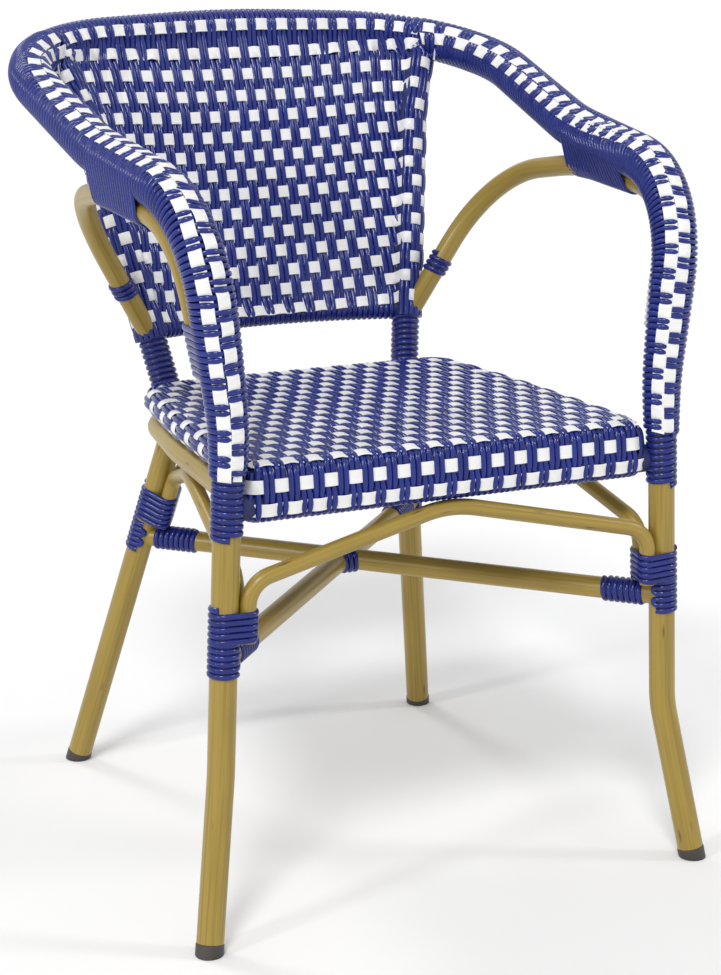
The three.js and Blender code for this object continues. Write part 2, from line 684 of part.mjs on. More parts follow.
// One strand wound over a course of angles and lengths along a spine, pulled taut round discs there.
function wind(name, spine, course, discsAt, section, steps) {
  const swell = 1 / Math.cos(Math.PI / steps);
  const swollen = (station) => discsAt(station).map(({ centre, radius }) => (
    { centre, radius: (radius + seat_gap) * swell }));
  const spotOn = (station, disc, angle) => ({
    point: placed(station, rimSpot(disc, angle)),
    out: placed(station, flat(Math.cos(angle), Math.sin(angle))).sub(station.point),
  });
  const widestAt = ({ angle, along }) => widestDisc(swollen(stationAt(spine, along)), angle);
  const laid = course.flatMap((place, i) => {
    const station = stationAt(spine, place.along);
    const widest = widestAt(place);
    const here = spotOn(station, swollen(station)[widest], place.angle);
    const before = course[Math.max(0, i - 1)];
    const last_widest = widestAt(before);
    if (widest === last_widest) return [here];
    const middle = stationAt(spine, (before.along + place.along) / 2);
    const pair = [swollen(middle)[last_widest], swollen(middle)[widest]];
    const angle = leavingAngle(...pair, (before.angle + place.angle) / 2);
    return [...pair.map((disc) => spotOn(middle, disc, angle)), here];
  });
  const spots = laid.filter(({ point }, i) => (
    i === 0 || point.distanceTo(laid[i - 1].point) > section.thickness / 2));
  const straightEnd = (end, inner) => {
    const way = end.point.clone().sub(inner.point).normalize();
    return { point: end.point.clone().addScaledVector(way, section.width), out: end.out };
  };
  const whole = [
    straightEnd(spots[0], spots[1]),
    ...spots,
    straightEnd(spots[spots.length - 1], spots[spots.length - 2]),
  ];
  const run = makeRun(whole.map(({ point }) => point), up);
  run.forEach((station, i) => {
    station.normal = whole[i].out.clone().projectOnPlane(station.tangent).normalize();
  });
  const outline = strandOutline(section);
  const gap = leastSelfGap(run, outline, steps / 2);
  console.log(`${name}: least gap to itself ${gap.toFixed(2)} mm`);
  return extrudeAlong(run, outline);
}

function strandOutline({ width, thickness, crown_share }) {
  const half = width / 2;
  const crown = half * crown_share;
  return [flat(0, -half), flat(thickness, -crown), flat(thickness, crown), flat(0, half)];
}

// The least distance between points of a strand's skin that lie more than some stations apart.
function leastSelfGap(run, outline, apart) {
  const rings = run.map((station) => outline.map((spot) => placed(station, spot)));
  let least = Infinity;
  rings.forEach((ring, i) => rings.slice(i + Math.ceil(apart)).forEach((other) => {
    ring.forEach((point) => other.forEach((facing) => {
      least = Math.min(least, point.distanceTo(facing));
    }));
  }));
  return least;
}

function helix(from, turns, pitch, steps, first_angle = 0) {
  return Array.from({ length: Math.round(turns * steps) + 1 }, (_, i) => ({
    angle: first_angle + (full_turn * i) / steps,
    along: from + (pitch * i) / steps,
  }));
}

// Rows laid to and fro where a tube blocks the way round, each end turned back on a tight curve.
function toAndFro({ first_angle, span, from, rows, pitch, steps, bulge }) {
  const places = Math.ceil((span * steps) / full_turn);
  return Array.from({ length: rows }, (_, row) => {
    const forward = row % 2 === 0;
    const laid = Array.from({ length: places + 1 }, (__, i) => ({
      angle: first_angle + span * (forward ? i : places - i) / places,
      along: from - row * pitch,
    }));
    const end = laid[places];
    const turn_back = { angle: end.angle + (forward ? bulge : -bulge), along: end.along - pitch / 2 };
    return row + 1 < rows ? [...laid, turn_back] : laid;
  }).flat();
}

const pitchOf = (section) => section.width + section.turn_gap;
const single = (radius) => () => [{ centre: flat(0, 0), radius }];
const angleOf = (station, way) => {
  const spot = inPlane(station, way);
  return Math.atan2(spot.y, spot.x);
};

// Joint lashing: full turns round a leg and the ends of its two arched braces, above the stretcher.
function buildJointBinding(name, spine, ways, stretcher_way, turns, tail) {
  const pitch = pitchOf(strand);
  const centre = stationWhere(spine, 'z', stretcher_height);
  const dip = Math.max(0, stretcher_way.dot(centre.tangent) / centre.tangent.z)
    * (brace_offset + brace_radius + strand.thickness);
  const floor_height = stretcher_height + stretcher_radius + 2 * seat_gap + strand.width / 2 + dip;
  const floor = lengthWhere(spine, 'z', floor_height);
  const discsAt = (station) => [
    { centre: flat(0, 0), radius: frame_radius },
    ...ways.map((way) => ({
      centre: inPlane(station, way).normalize().multiplyScalar(brace_offset),
      radius: brace_radius,
    })),
  ];
  const first_angle = angleOf(centre, stretcher_way) - turns * full_turn;
  const course = helix(
    floor + turns * pitch, turns + tail, -pitch, turn_steps, first_angle);
  return wind(name, spine, course, discsAt, strand, turn_steps);
}

// Below it the strand goes to and fro round the outside of the leg, from one side of the stretcher
// to the other.
function buildStretcherBinding(name, spine, stretcher_way) {
  const pitch = pitchOf(strand);
  const centre = stationWhere(spine, 'z', stretcher_height);
  const blocked = Math.asin(stretcher_radius / frame_radius) + (strand.width + seat_gap) / frame_radius;
  const course = toAndFro({
    first_angle: angleOf(centre, stretcher_way) + blocked,
    span: full_turn - 2 * blocked,
    from: lengthWhere(spine, 'z', brace_end_height) - strand.width / 2 - strand.turn_gap,
    rows: stretcher_rows,
    pitch,
    steps: row_steps,
    bulge: strand.width / 2 / frame_radius,
  });
  return wind(name, spine, course, single(frame_radius), strand, row_steps);
}

// Collar on a stretcher, clear of the lashing of the leg at its end.
function buildCollar(name, run, clearance) {
  const lashing_radius = brace_offset + (brace_radius + seat_gap) / Math.cos(Math.PI / turn_steps);
  const distance = lashing_radius + strand.thickness + clearance + strand.width / 2;
  const course = helix(distance, collar.turns, pitchOf(strand), turn_steps);
  return wind(name, run, course, single(stretcher_radius), strand, turn_steps);
}

// The apron's ends are tied to the posts by rows round the outside of each post.
function buildSeatBinding(name) {
  const pitch = pitchOf(strand);
  const station = stationAt(hoop_run, sleeve_start);
  const first_way = vec(Math.cos(seat_rows.first_angle), Math.sin(seat_rows.first_angle), 0);
  const course = toAndFro({
    first_angle: angleOf(station, first_way),
    span: seat_rows.span,
    from: sleeve_start - seat_gap - strand.turn_gap - strand.width / 2,
    rows: seat_rows.count,
    pitch,
    steps: row_steps,
    bulge: strand.width / 2 / frame_radius,
  });
  return wind(name, hoop_run, course, single(frame_radius), strand, row_steps);
}

function buildStileBinding(name) {
  const from = lengthWhere(rear_leg_run, 'z', stile_binding.height);
  const course = helix(from, stile_binding.turns, pitchOf(thin_strand), turn_steps);
  return wind(name, rear_leg_run, course, single(frame_radius), thin_strand, turn_steps);
}

function buildArchCollar(name) {
  const course = helix(arch_collar.distance, arch_collar.turns, pitchOf(strand), turn_steps);
  return wind(name, arch_run, course, single(arch_radius), strand, turn_steps);
}

// The crossing of the stretchers is lashed by turns round both tubes at once.
function buildCrossingBinding(name) {
  const pitch = pitchOf(strand);
  const centre = pointWhere(stretcher_run, 'x', 0);
  const reach = pitch * (crossing_turns + 1);
  const spine = makeRun([
    centre.clone().addScaledVector(sideways, -reach),
    centre.clone().addScaledVector(sideways, reach),
  ], up);
  const { x: along_share, y: across_share } = stretcher_run[0].tangent;
  const half_flat = stretcher_radius * (1 / Math.abs(along_share) - 1);
  const discsAt = (station) => {
    const spread = (Math.abs(station.point.x) + strand.width / 2) * Math.abs(across_share / along_share);
    return [-1, 1].map((side) => ({
      centre: flat(0, side * (spread + half_flat)),
      radius: stretcher_radius,
    }));
  };
  const course = helix(reach - (crossing_turns * pitch) / 2, crossing_turns, pitch, turn_steps);
  return wind(name, spine, course, discsAt, strand, turn_steps);
}

// The chair.
const chair = new THREE.Group();
chair.name = 'woven_bistro_armchair';

function add(name, body, finish) {
  const { vertProperties, triVerts } = body.simplify(facet_slack).getMesh();
  const geometry = new THREE.BufferGeometry();
  geometry.setAttribute('position', new THREE.BufferAttribute(new Float32Array(vertProperties), 3));
  geometry.setIndex(new THREE.BufferAttribute(new Uint32Array(triVerts), 1));
  const mesh = new THREE.Mesh(geometry, new THREE.MeshStandardMaterial(finishes[finish]));
  mesh.name = name;
  chair.add(mesh);
}

function addPair(name, body, finish) {
  add(`right_${name}`, body, finish);
  add(`left_${name}`, mirrorOf(body), finish);
}

const crossing = lengthWhere(cross_run, 'x', 0);
const reversed = (run) => makeRun(run.map(({ point }) => point).reverse(), up);
const front_stretcher_way = stretcher_run[0].tangent;
const rear_stretcher_way = mirrored(front_stretcher_way).negate();

add('front_leg_arm_hoop', buildHoop(), 'bamboo');
addPair('rear_leg_stile', buildRearLeg(), 'bamboo');
add('front_seat_rail', buildFrontRail(), 'bare_tube');
add('seat_support_rail', buildSideRail(), 'bamboo');
add('seat_frame_ring', buildSeatRing(), 'bare_tube');
add('lower_back_rail', buildBackRail(), 'bare_tube');
addPair('arm_arch', buildArch(), 'bamboo');
add('cross_brace_through', buildStretcher(), 'bamboo');
add('cross_brace_front_half', buildStretcherHalf(cutRun(cross_run, 0, crossing)), 'bamboo');
add('cross_brace_rear_half', buildStretcherHalf(cutRun(cross_run, crossing, runLength(cross_run))), 'bamboo');
add('front_arched_brace', buildBrace(front_brace_run), 'bamboo');
add('rear_arched_brace', buildBrace(rear_brace_run), 'bamboo');
addPair('arched_brace', buildBrace(side_brace_run), 'bamboo');
addPair('front_foot_cap', buildFootCap(hoop_run[0]), 'cap');
addPair('rear_foot_cap', buildFootCap(rear_leg_run[0]), 'cap');
add('woven_seat', buildSeat(), 'weave');
add('woven_back', buildBack(), 'weave');
addPair('arm_sleeve', buildArmSleeve(), 'weave');
addPair('front_joint_binding', buildJointBinding(
  'front_joint_binding', hoop_run, [brace_end_way.front, brace_end_way.side_at_front],
  front_stretcher_way, joint_turns.front, 0), 'binding');
addPair('rear_joint_binding', buildJointBinding(
  'rear_joint_binding', rear_leg_run, [brace_end_way.rear, brace_end_way.side_at_rear],
  rear_stretcher_way, joint_turns.rear, rear_joint_tail), 'binding');
addPair('front_stretcher_binding', buildStretcherBinding(
  'front_stretcher_binding', hoop_run, front_stretcher_way), 'binding');
addPair('rear_stretcher_binding', buildStretcherBinding(
  'rear_stretcher_binding', rear_leg_run, rear_stretcher_way), 'binding');
addPair('front_collar', buildCollar(
  'front_collar', stretcher_run, collar.front_clearance), 'binding');
addPair('rear_collar', buildCollar(
  'rear_collar', reversed(cross_run), collar.rear_clearance), 'binding');
addPair('seat_binding', buildSeatBinding('seat_binding'), 'binding');
addPair('stile_binding', buildStileBinding('stile_binding'), 'binding');
addPair('arch_collar', buildArchCollar('arch_collar'), 'binding');
add('crossing_binding', buildCrossingBinding('crossing_binding'), 'binding');

// The part's origin is the middle of its footprint on the floor.
const box = new THREE.Box3().setFromObject(chair);
const middle = box.getCenter(vec(0, 0, 0));
chair.children.forEach((mesh) => mesh.geometry.translate(0, -middle.y, 0));

export default chair;
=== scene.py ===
"""Looks of the woven bistro armchair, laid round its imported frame.

Sizes are in millimetres in the maker's frame: +Z up, the sitter faces -Y, the floor is z = 0 and
the chair is mirrored about x = 0, with "right" at +X. `Workshop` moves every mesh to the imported
part's frame and to metres. A strand or tube is a profile carried along a path, and a woven panel is
a smooth surface of two lengths, across and along, on which strands are laid over and under.
"""

import logging
from abc import ABC, abstractmethod
from dataclasses import dataclass, field
from enum import Enum
from itertools import product
from math import atan2, ceil, cos, hypot, pi, radians, sin, sqrt, tan
from typing import Optional, Sequence

import bpy
import numpy as np
from mathutils import Matrix, Vector

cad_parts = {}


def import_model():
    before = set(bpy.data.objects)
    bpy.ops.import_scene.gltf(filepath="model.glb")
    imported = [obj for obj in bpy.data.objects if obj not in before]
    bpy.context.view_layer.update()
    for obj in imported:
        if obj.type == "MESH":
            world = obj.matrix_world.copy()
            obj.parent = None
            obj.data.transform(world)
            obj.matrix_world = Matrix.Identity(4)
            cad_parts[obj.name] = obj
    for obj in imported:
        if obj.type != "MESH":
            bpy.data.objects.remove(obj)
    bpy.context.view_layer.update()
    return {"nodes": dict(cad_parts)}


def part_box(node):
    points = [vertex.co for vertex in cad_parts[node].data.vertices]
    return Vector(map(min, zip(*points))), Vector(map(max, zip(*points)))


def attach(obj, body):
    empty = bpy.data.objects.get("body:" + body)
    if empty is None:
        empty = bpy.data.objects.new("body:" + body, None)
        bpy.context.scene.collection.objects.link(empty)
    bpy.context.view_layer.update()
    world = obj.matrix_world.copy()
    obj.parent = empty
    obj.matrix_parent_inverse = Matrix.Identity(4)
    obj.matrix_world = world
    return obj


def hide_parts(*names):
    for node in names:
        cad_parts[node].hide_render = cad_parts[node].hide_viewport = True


LOG = logging.getLogger("bistro_chair")

GRAIN = "grain"
MM_PER_M = 1000.0
UP = np.array((0.0, 0.0, 1.0))
FRONT = np.array((0.0, -1.0, 0.0))
SIDEWAYS = np.array((1.0, 0.0, 0.0))
FULL_TURN = 2 * pi
FLIP = np.array((-1.0, 1.0, 1.0))
PAIR = (-1, 1)
SHARP_FROM = radians(50)
TUBE_STEP = 4.5

Array = np.ndarray
Span = tuple[float, float]
Triple = tuple[float, float, float]
Corner = tuple[Triple, float]
Curve = tuple[Array, Array]
Material = bpy.types.Material
Socket = bpy.types.NodeSocket
Finish = tuple[Material, "MaterialSlot"]


class Side(Enum):
    """A side of the chair, by the sign of its x."""

    RIGHT = 1
    LEFT = -1

    @property
    def label(self) -> str:
        """The side's name in piece names."""
        return self.name.lower()

    def turn(self, vectors: Array) -> Array:
        """Vectors of the right side, mirrored where this is the left one."""
        return vectors * np.array((self.value, 1.0, 1.0))


class MaterialSlot(Enum):
    """The chair's material slots."""

    BAMBOO = "bamboo_tube"
    BARE = "bare_tube"
    WEAVE = "woven_strand"
    BINDING = "binding_strand"
    CAP = "foot_cap"


# ------------------------------
# Vectors and paths


def unit(vectors: Array) -> Array:
    """Vectors divided by their own lengths."""
    return vectors / np.linalg.norm(vectors, axis=-1, keepdims=True)


def dot(one: Array, other: Array) -> Array:
    """The products of vectors, one by one, kept as a last axis of one."""
    return np.sum(one * other, axis=-1, keepdims=True)


def circle(angles: Array) -> Array:
    """The pairs (cos a, sin a)."""
    return np.stack([np.cos(angles), np.sin(angles)], -1)


def spread(one: Array, other: Array, spots: Array) -> Array:
    """The vectors one x + other y of spots (x, y) in a cross-section."""
    return one * spots[..., :1] + other * spots[..., 1:]


def lengths_along(points: Array) -> Array:
    """The length of a polyline up to each of its points."""
    return np.concatenate([[0.0], np.cumsum(np.linalg.norm(np.diff(points, axis=0), axis=1))])


def mixed(at: Array, places: Array, rows: Array) -> Array:
    """Rows that are known at rising places, interpolated at others."""
    return np.stack([np.interp(at, places, column) for column in rows.T], -1)


def smooth_step(values: Array, low: float, high: float) -> Array:
    """0 below low, 1 above high, and the cubic 3t^2 - 2t^3 between."""
    share = np.clip((values - low) / (high - low), 0, 1)
    return share * share * (3 - 2 * share)


def read_off(
    values: Array, at: Sequence[float], rows: Sequence[float], pitch: Optional[float] = None
) -> Array:
    """Linear interpolation that goes straight on past both ends.

    Args:
        values: The places read.
        at: The known places, rising.
        rows: What is known there.
        pitch: How far apart the places are past the ends, or None where they go on as before.

    Returns:
        What is read off at the places.
    """
    at, rows = np.asarray(at, float), np.asarray(rows, float)
    first, last = (at[1] - at[0], at[-1] - at[-2]) if pitch is None else (pitch, pitch)
    before = rows[0] + (values - at[0]) * (rows[1] - rows[0]) / first
    after = rows[-1] + (values - at[-1]) * (rows[-1] - rows[-2]) / last
    inside = np.interp(values, at, rows)
    return np.where(values < at[0], before, np.where(values > at[-1], after, inside))


def even(points: Array, spacing: float, *others: Array) -> tuple[Array, ...]:
    """Lays a polyline out again at even steps of its own length.

    Args:
        points: The polyline, n x 3.
        spacing: The step aimed at.
        others: Further n x m arrays that go with the points.

    Returns:
        The points and the other arrays, interpolated at the same lengths.
    """
    lengths = lengths_along(points)
    at = np.linspace(0, lengths[-1], max(4, int(round(lengths[-1] / spacing)) + 1))
    return tuple(mixed(at, lengths, values) for values in (points, *others))


def relaxed(values: Array, reach: int) -> Array:
    """Evens a line of numbers or of vectors.

    Args:
        values: The line, n or n x m.
        reach: How many neighbours to each side count.

    Returns:
        The running mean, with the end rows repeated beyond the ends.
    """
    padded = np.concatenate([values[:1].repeat(reach, 0), values, values[-1:].repeat(reach, 0)])
    total = np.cumsum(np.concatenate([np.zeros_like(padded[:1]), padded]), axis=0)
    width = 2 * reach + 1
    return (total[width:] - total[:-width]) / width


def bent_points(corners: Sequence[Corner], facet: float = radians(3)) -> Array:
    """Points of a bent tube: straight lengths between corners, each rounded to its bend radius.

    Args:
        corners: The corner points with their bend radii, 0 for an end.
        facet: The most that one step of a bend turns.

    Returns:
        The points, n x 3: on a bend, centre + spoke cos(a) - back r sin(a) as a runs over the turn.
    """
    runs = []
    for i, (place, bend) in enumerate(corners):
        at = np.asarray(place, float)
        if not bend:
            runs.append(at[None])
            continue
        back = unit(np.asarray(corners[i - 1][0], float) - at)
        ahead = unit(np.asarray(corners[i + 1][0], float) - at)
        turn = pi - np.arccos(np.clip(back @ ahead, -1, 1))
        centre = at + unit(back + ahead) * bend / cos(turn / 2)
        spoke = at + back * bend * tan(turn / 2) - centre
        steps = max(1, ceil(turn / facet))
        angles = (turn * np.arange(steps + 1) / steps)[:, None]
        runs.append(centre + spoke * np.cos(angles) - back * bend * np.sin(angles))
    return np.concatenate(runs)


def mirrored(corners: Sequence[Corner]) -> list[Corner]:
    """Corners of the other side, in the order that goes on from the first side's."""
    return [((-x, y, z), bend) for (x, y, z), bend in reversed(corners)]


class Path:
    """A curve in space at even steps, with a frame carried along it without twist."""

    def __init__(self, points: Array, reference: Array, step: float = 3.0) -> None:
        """Lays the curve out and carries its frame from the middle to both ends.

        Args:
            points: The curve's points, n x 3.
            reference: The direction nearest to the normal in the middle.
            step: The length of one step.
        """
        (self.points,) = even(points, step)
        self.lengths = lengths_along(self.points)
        self.length = float(self.lengths[-1])
        self.tangents = unit(np.gradient(self.points, self.lengths, axis=0))
        self.normals = np.empty_like(self.points)
        last = len(self.points) - 1
        for order in (range(last // 2, last + 1), range(last // 2, -1, -1)):
            normal = reference
            for i in order:
                normal = unit(normal - (normal @ self.tangents[i]) * self.tangents[i])
                self.normals[i] = normal

    def at(self, lengths: Array) -> Array:
        """The points at lengths along the path."""
        return mixed(lengths, self.lengths, self.points)

    def frame(self, lengths: Array) -> tuple[Array, Array, Array]:
        """The directions carried along the path.

        Args:
            lengths: Lengths along the path.

        Returns:
            The tangents, the normals and their products, the binormals.
        """
        tangent = unit(mixed(lengths, self.lengths, self.tangents))
        normal = mixed(lengths, self.lengths, self.normals)
        normal = unit(normal - dot(normal, tangent) * tangent)
        return tangent, normal, np.cross(tangent, normal)

    def where(self, axis: int, value: float) -> float:
        """Finds where a coordinate first passes a value.

        Args:
            axis: The coordinate's number.
            value: The value.

        Returns:
            The length along the path.
        """
        gap = self.points[:, axis] - value
        i = int(np.nonzero(gap[:-1] * gap[1:] <= 0)[0][0])
        share = gap[i] / (gap[i] - gap[i + 1])
        return float(self.lengths[i] + share * (self.lengths[i + 1] - self.lengths[i]))

    def point_where(self, axis: int, value: float) -> Array:
        """The point at which a coordinate first passes a value."""
        return self.at(self.where(axis, value))


# ------------------------------
# Meshes


class Skin:
    """A mesh gathered from rings of points, with a grain vector at each point."""

    def __init__(self) -> None:
        """Starts empty."""
        self._points: list[Array] = []
        self._grain: list[Array] = []
        self._quads: list[Array] = []
        self._caps: list[Array] = []
        self._count = 0

    def add_rings(self, rings: Array, grain: Array) -> None:
        """Adds one body through rings, closed at both ends.

        Face (i, j) joins points j and j + 1 of rings i and i + 1; the profile runs anticlockwise
        seen from the far end, so that the faces point outwards.

        Args:
            rings: The points, n x m x 3.
            grain: The grain vectors, n x m x 3.
        """
        n, m = rings.shape[:2]
        index = self._count + np.arange(n * m).reshape(n, m)
        ahead = np.roll(index, -1, axis=1)
        quads = np.stack([index[:-1], ahead[:-1], ahead[1:], index[1:]], -1)
        self._quads.append(quads.reshape(-1, 4))
        self._caps += [index[0, ::-1], index[-1]]
        self._points.append(rings.reshape(-1, 3))
        self._grain.append(grain.reshape(-1, 3))
        self._count += n * m

    def build(self, name: str, shop: "Workshop") -> bpy.types.Object:
        """Makes the mesh object.

        Args:
            name: The piece's name.
            shop: Where the frame's shift and scale come from.

        Returns:
            The object, at the origin, with its place in its mesh.
        """
        mesh = bpy.data.meshes.new(name)
        points = shop.packed(np.concatenate(self._points))
        quads = np.concatenate(self._quads)
        loops = np.concatenate([quads.ravel(), *self._caps])
        sizes = np.concatenate([np.full(len(quads), 4), [len(cap) for cap in self._caps]])
        starts = np.concatenate([[0], np.cumsum(sizes)[:-1]]).astype(np.int32)
        mesh.vertices.add(len(points))
        mesh.vertices.foreach_set("co", points.astype(np.float32).ravel())
        mesh.loops.add(len(loops))
        mesh.loops.foreach_set("vertex_index", loops.astype(np.int32))
        mesh.polygons.add(len(sizes))
        mesh.polygons.foreach_set("loop_start", starts)
        mesh.update(calc_edges=True)
        attribute = mesh.attributes.new(GRAIN, "FLOAT_VECTOR", "POINT")
        grain = np.concatenate(self._grain) / MM_PER_M
        attribute.data.foreach_set("vector", grain.astype(np.float32).ravel())
        mesh.polygons.foreach_set("use_smooth", np.ones(len(sizes), bool))
        mesh.set_sharp_from_angle(angle=SHARP_FROM)
        return placed(name, mesh)


def placed(name: str, data: bpy.types.ID) -> bpy.types.Object:
    """Puts a mesh, lamp or camera into the scene.

    Args:
        name: The new object's name.
        data: What it shows.

    Returns:
        The object.
    """
    thing = bpy.data.objects.new(name, data)
    bpy.context.scene.collection.objects.link(thing)
    return thing


@dataclass(frozen=True)
class Strand:
    """A moulded strand: its width, its thickness, and the points of its profile."""

    width: float
    thickness: float

    def half_round(self, points: int = 7) -> Array:
        """A flat base with an elliptic crown: (w/2 cos a, t sin a) for a from 0 to half a turn."""
        return circle(np.linspace(0, pi, points)) * (self.width / 2, self.thickness)

    def tape(self, edge: float = 0.45) -> Array:
        """A flat tape with bevelled edges, its middle plane at height 0.

        Args:
            edge: How far the bevels reach.

        Returns:
            The outline, 8 x 2.
        """
        half, rise = self.width / 2, self.thickness / 2
        low = rise - edge * self.thickness
        right = ((half, -low), (half, low), (half - edge, rise), (edge - half, rise))
        left = ((-half, low), (-half, -low), (edge - half, -rise), (half - edge, -rise))
        return np.array(right + left)


def lay_strand(
    skin: Skin, centres: Array, outs: Array, profile: Array, tint: float,
    widths: Optional[Array] = None, skews: Optional[Array] = None,
) -> None:
    """Carries a strand's profile along a path.

    At each point the profile stands in the plane of out and out x tangent.

    Args:
        skin: The mesh that takes it.
        centres: The path, n x 3.
        outs: The directions that the profile's height follows, n x 3.
        profile: The outline as (aside, height) pairs, anticlockwise.
        tint: A number kept in the grain, by which strands differ in shade.
        widths: Factors on the profile's width along the path.
        skews: How far the profile runs ahead along the path for each unit aside.
    """
    tangents = unit(np.gradient(centres, axis=0))
    asides = unit(np.cross(outs, tangents))
    rises = np.cross(tangents, asides)
    aside = profile[None, :, 0] * (1.0 if widths is None else widths[:, None])
    rings = (
        centres[:, None] + asides[:, None] * aside[..., None]
        + rises[:, None] * profile[None, :, 1, None]
    )
    if skews is not None:
        rings = rings + tangents[:, None] * (aside * skews[:, None])[..., None]
    grain = np.empty_like(rings)
    grain[..., 0] = lengths_along(centres)[:, None]
    grain[..., 1] = aside
    grain[..., 2] = tint * MM_PER_M
    skin.add_rings(rings, grain)


def circles(path: Path, at: Array, radii: Array, sides: int) -> Curve:
    """Circles round a path: centre + r (normal cos a + binormal sin a).

    Args:
        path: The middle line.
        at: The circles' lengths along it, n.
        radii: Their radii, n.
        sides: The points of each.

    Returns:
        The points, n x sides x 3, and their (along normal, along binormal) pairs.
    """
    _, normal, binormal = path.frame(at)
    angles = FULL_TURN * np.arange(sides) / sides
    spots = np.multiply.outer(radii, circle(angles))
    return path.at(at)[:, None] + spread(normal[:, None], binormal[:, None], spots), spots


def lay_tube(
    skin: Skin, path: Path, radius: float, start: float, end: float, sides: int = 24
) -> None:
    """Carries a circle along part of a path.

    Args:
        skin: The mesh that takes it.
        path: The tube's middle line.
        radius: The tube's radius.
        start: The length at which it starts.
        end: The length at which it ends.
        sides: Its points round.
    """
    at = np.linspace(start, end, max(2, int((end - start) / TUBE_STEP)))
    rings, spots = circles(path, at, np.full_like(at, radius), sides)
    lengths = np.broadcast_to(at[:, None, None], (*spots.shape[:2], 1))
    skin.add_rings(rings, np.concatenate([spots, lengths], -1))


@dataclass
class Workshop:
    """Moves sizes from the maker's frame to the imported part's frame, and finishes the pieces."""

    setback: float
    finishes: "Finishes"

    def packed(self, points: Array) -> Array:
        """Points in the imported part's frame, in metres: shifted along y and divided by 1000."""
        return (points + np.array((0.0, self.setback, 0.0))) / MM_PER_M

    def finish(self, skin: Skin, name: str, finish: Finish, *nodes: str) -> None:
        """Makes a skin a finished piece of the chair.

        Args:
            skin: The gathered mesh.
            name: The piece's name.
            finish: Its material and slot.
            nodes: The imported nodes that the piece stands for.
        """
        material, slot = finish
        piece = skin.build(name, self)
        piece.data.materials.append(material)
        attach(piece, "root")
        if nodes:
            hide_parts(*nodes)
        triangles = sum(len(face.vertices) - 2 for face in piece.data.polygons)
        LOG.info("%s: %d triangles", name, triangles)


# ------------------------------
# Finishes


class Nodes:
    """A small helper that places and links shader nodes."""

    def __init__(self, name: str) -> None:
        """Starts a material with an empty node tree and a Principled shader."""
        self.material = bpy.data.materials.new(name)
        self.material.use_nodes = True
        self.tree = self.material.node_tree
        self.shader = self.tree.nodes["Principled BSDF"]

    def add(self, kind: str, **settings: object) -> bpy.types.Node:
        """Adds a node.

        Args:
            kind: The node's type.
            settings: Its properties.

        Returns:
            The node.
        """
        node = self.tree.nodes.new(kind)
        for key, value in settings.items():
            setattr(node, key, value)
        return node

    def link(self, source: Socket, target: Socket) -> None:
        """Links two sockets."""
        self.tree.links.new(source, target)

    def set(self, socket: str, value: object) -> None:
        """Sets a value on one of the shader's own sockets."""
        self.shader.inputs[socket].default_value = value

    def grain(self, scale: Triple) -> Socket:
        """Reads the piece's grain vector.

        Args:
            scale: How much it is stretched on each axis.

        Returns:
            The stretched vector.
        """
        source = self.add("ShaderNodeAttribute", attribute_name=GRAIN)
        stretch = self.add("ShaderNodeVectorMath", operation="MULTIPLY")
        stretch.inputs[1].default_value = scale
        self.link(source.outputs["Vector"], stretch.inputs[0])
        return stretch.outputs[0]

    def noise(self, scale: Triple, detail: float) -> Socket:
        """Adds noise on the grain.

        Args:
            scale: How much the grain is stretched on each axis.
            detail: How many finer layers it has.

        Returns:
            The noise as a factor.
        """
        node = self.add("ShaderNodeTexNoise")
        node.inputs["Scale"].default_value = 1.0
        node.inputs["Detail"].default_value = detail
        self.link(self.grain(scale), node.inputs["Vector"])
        return node.outputs["Fac"]

    def ramp(self, factor: Socket, places: Sequence[float], colours: Sequence[Triple]) -> Socket:
        """Turns a factor into a colour.

        Args:
            factor: What the colour follows.
            places: The factor's two values between which the colour changes.
            colours: The colours there.

        Returns:
            The colour.
        """
        node = self.add("ShaderNodeValToRGB")
        for element, place, colour in zip(node.color_ramp.elements, places, colours):
            element.position = place
            element.color = (*colour, 1.0)
        self.link(factor, node.inputs["Fac"])
        return node.outputs["Color"]

    def mix(self, factor: Socket, one: Socket, other: Triple) -> Socket:
        """Mixes one colour towards another.

        Args:
            factor: How far.
            one: The first colour.
            other: The second one.

        Returns:
            The mixed colour.
        """
        node = self.add("ShaderNodeMix", data_type="RGBA")
        self.link(factor, node.inputs["Factor"])
        self.link(one, node.inputs["A"])
        node.inputs["B"].default_value = (*other, 1.0)
        return node.outputs["Result"]


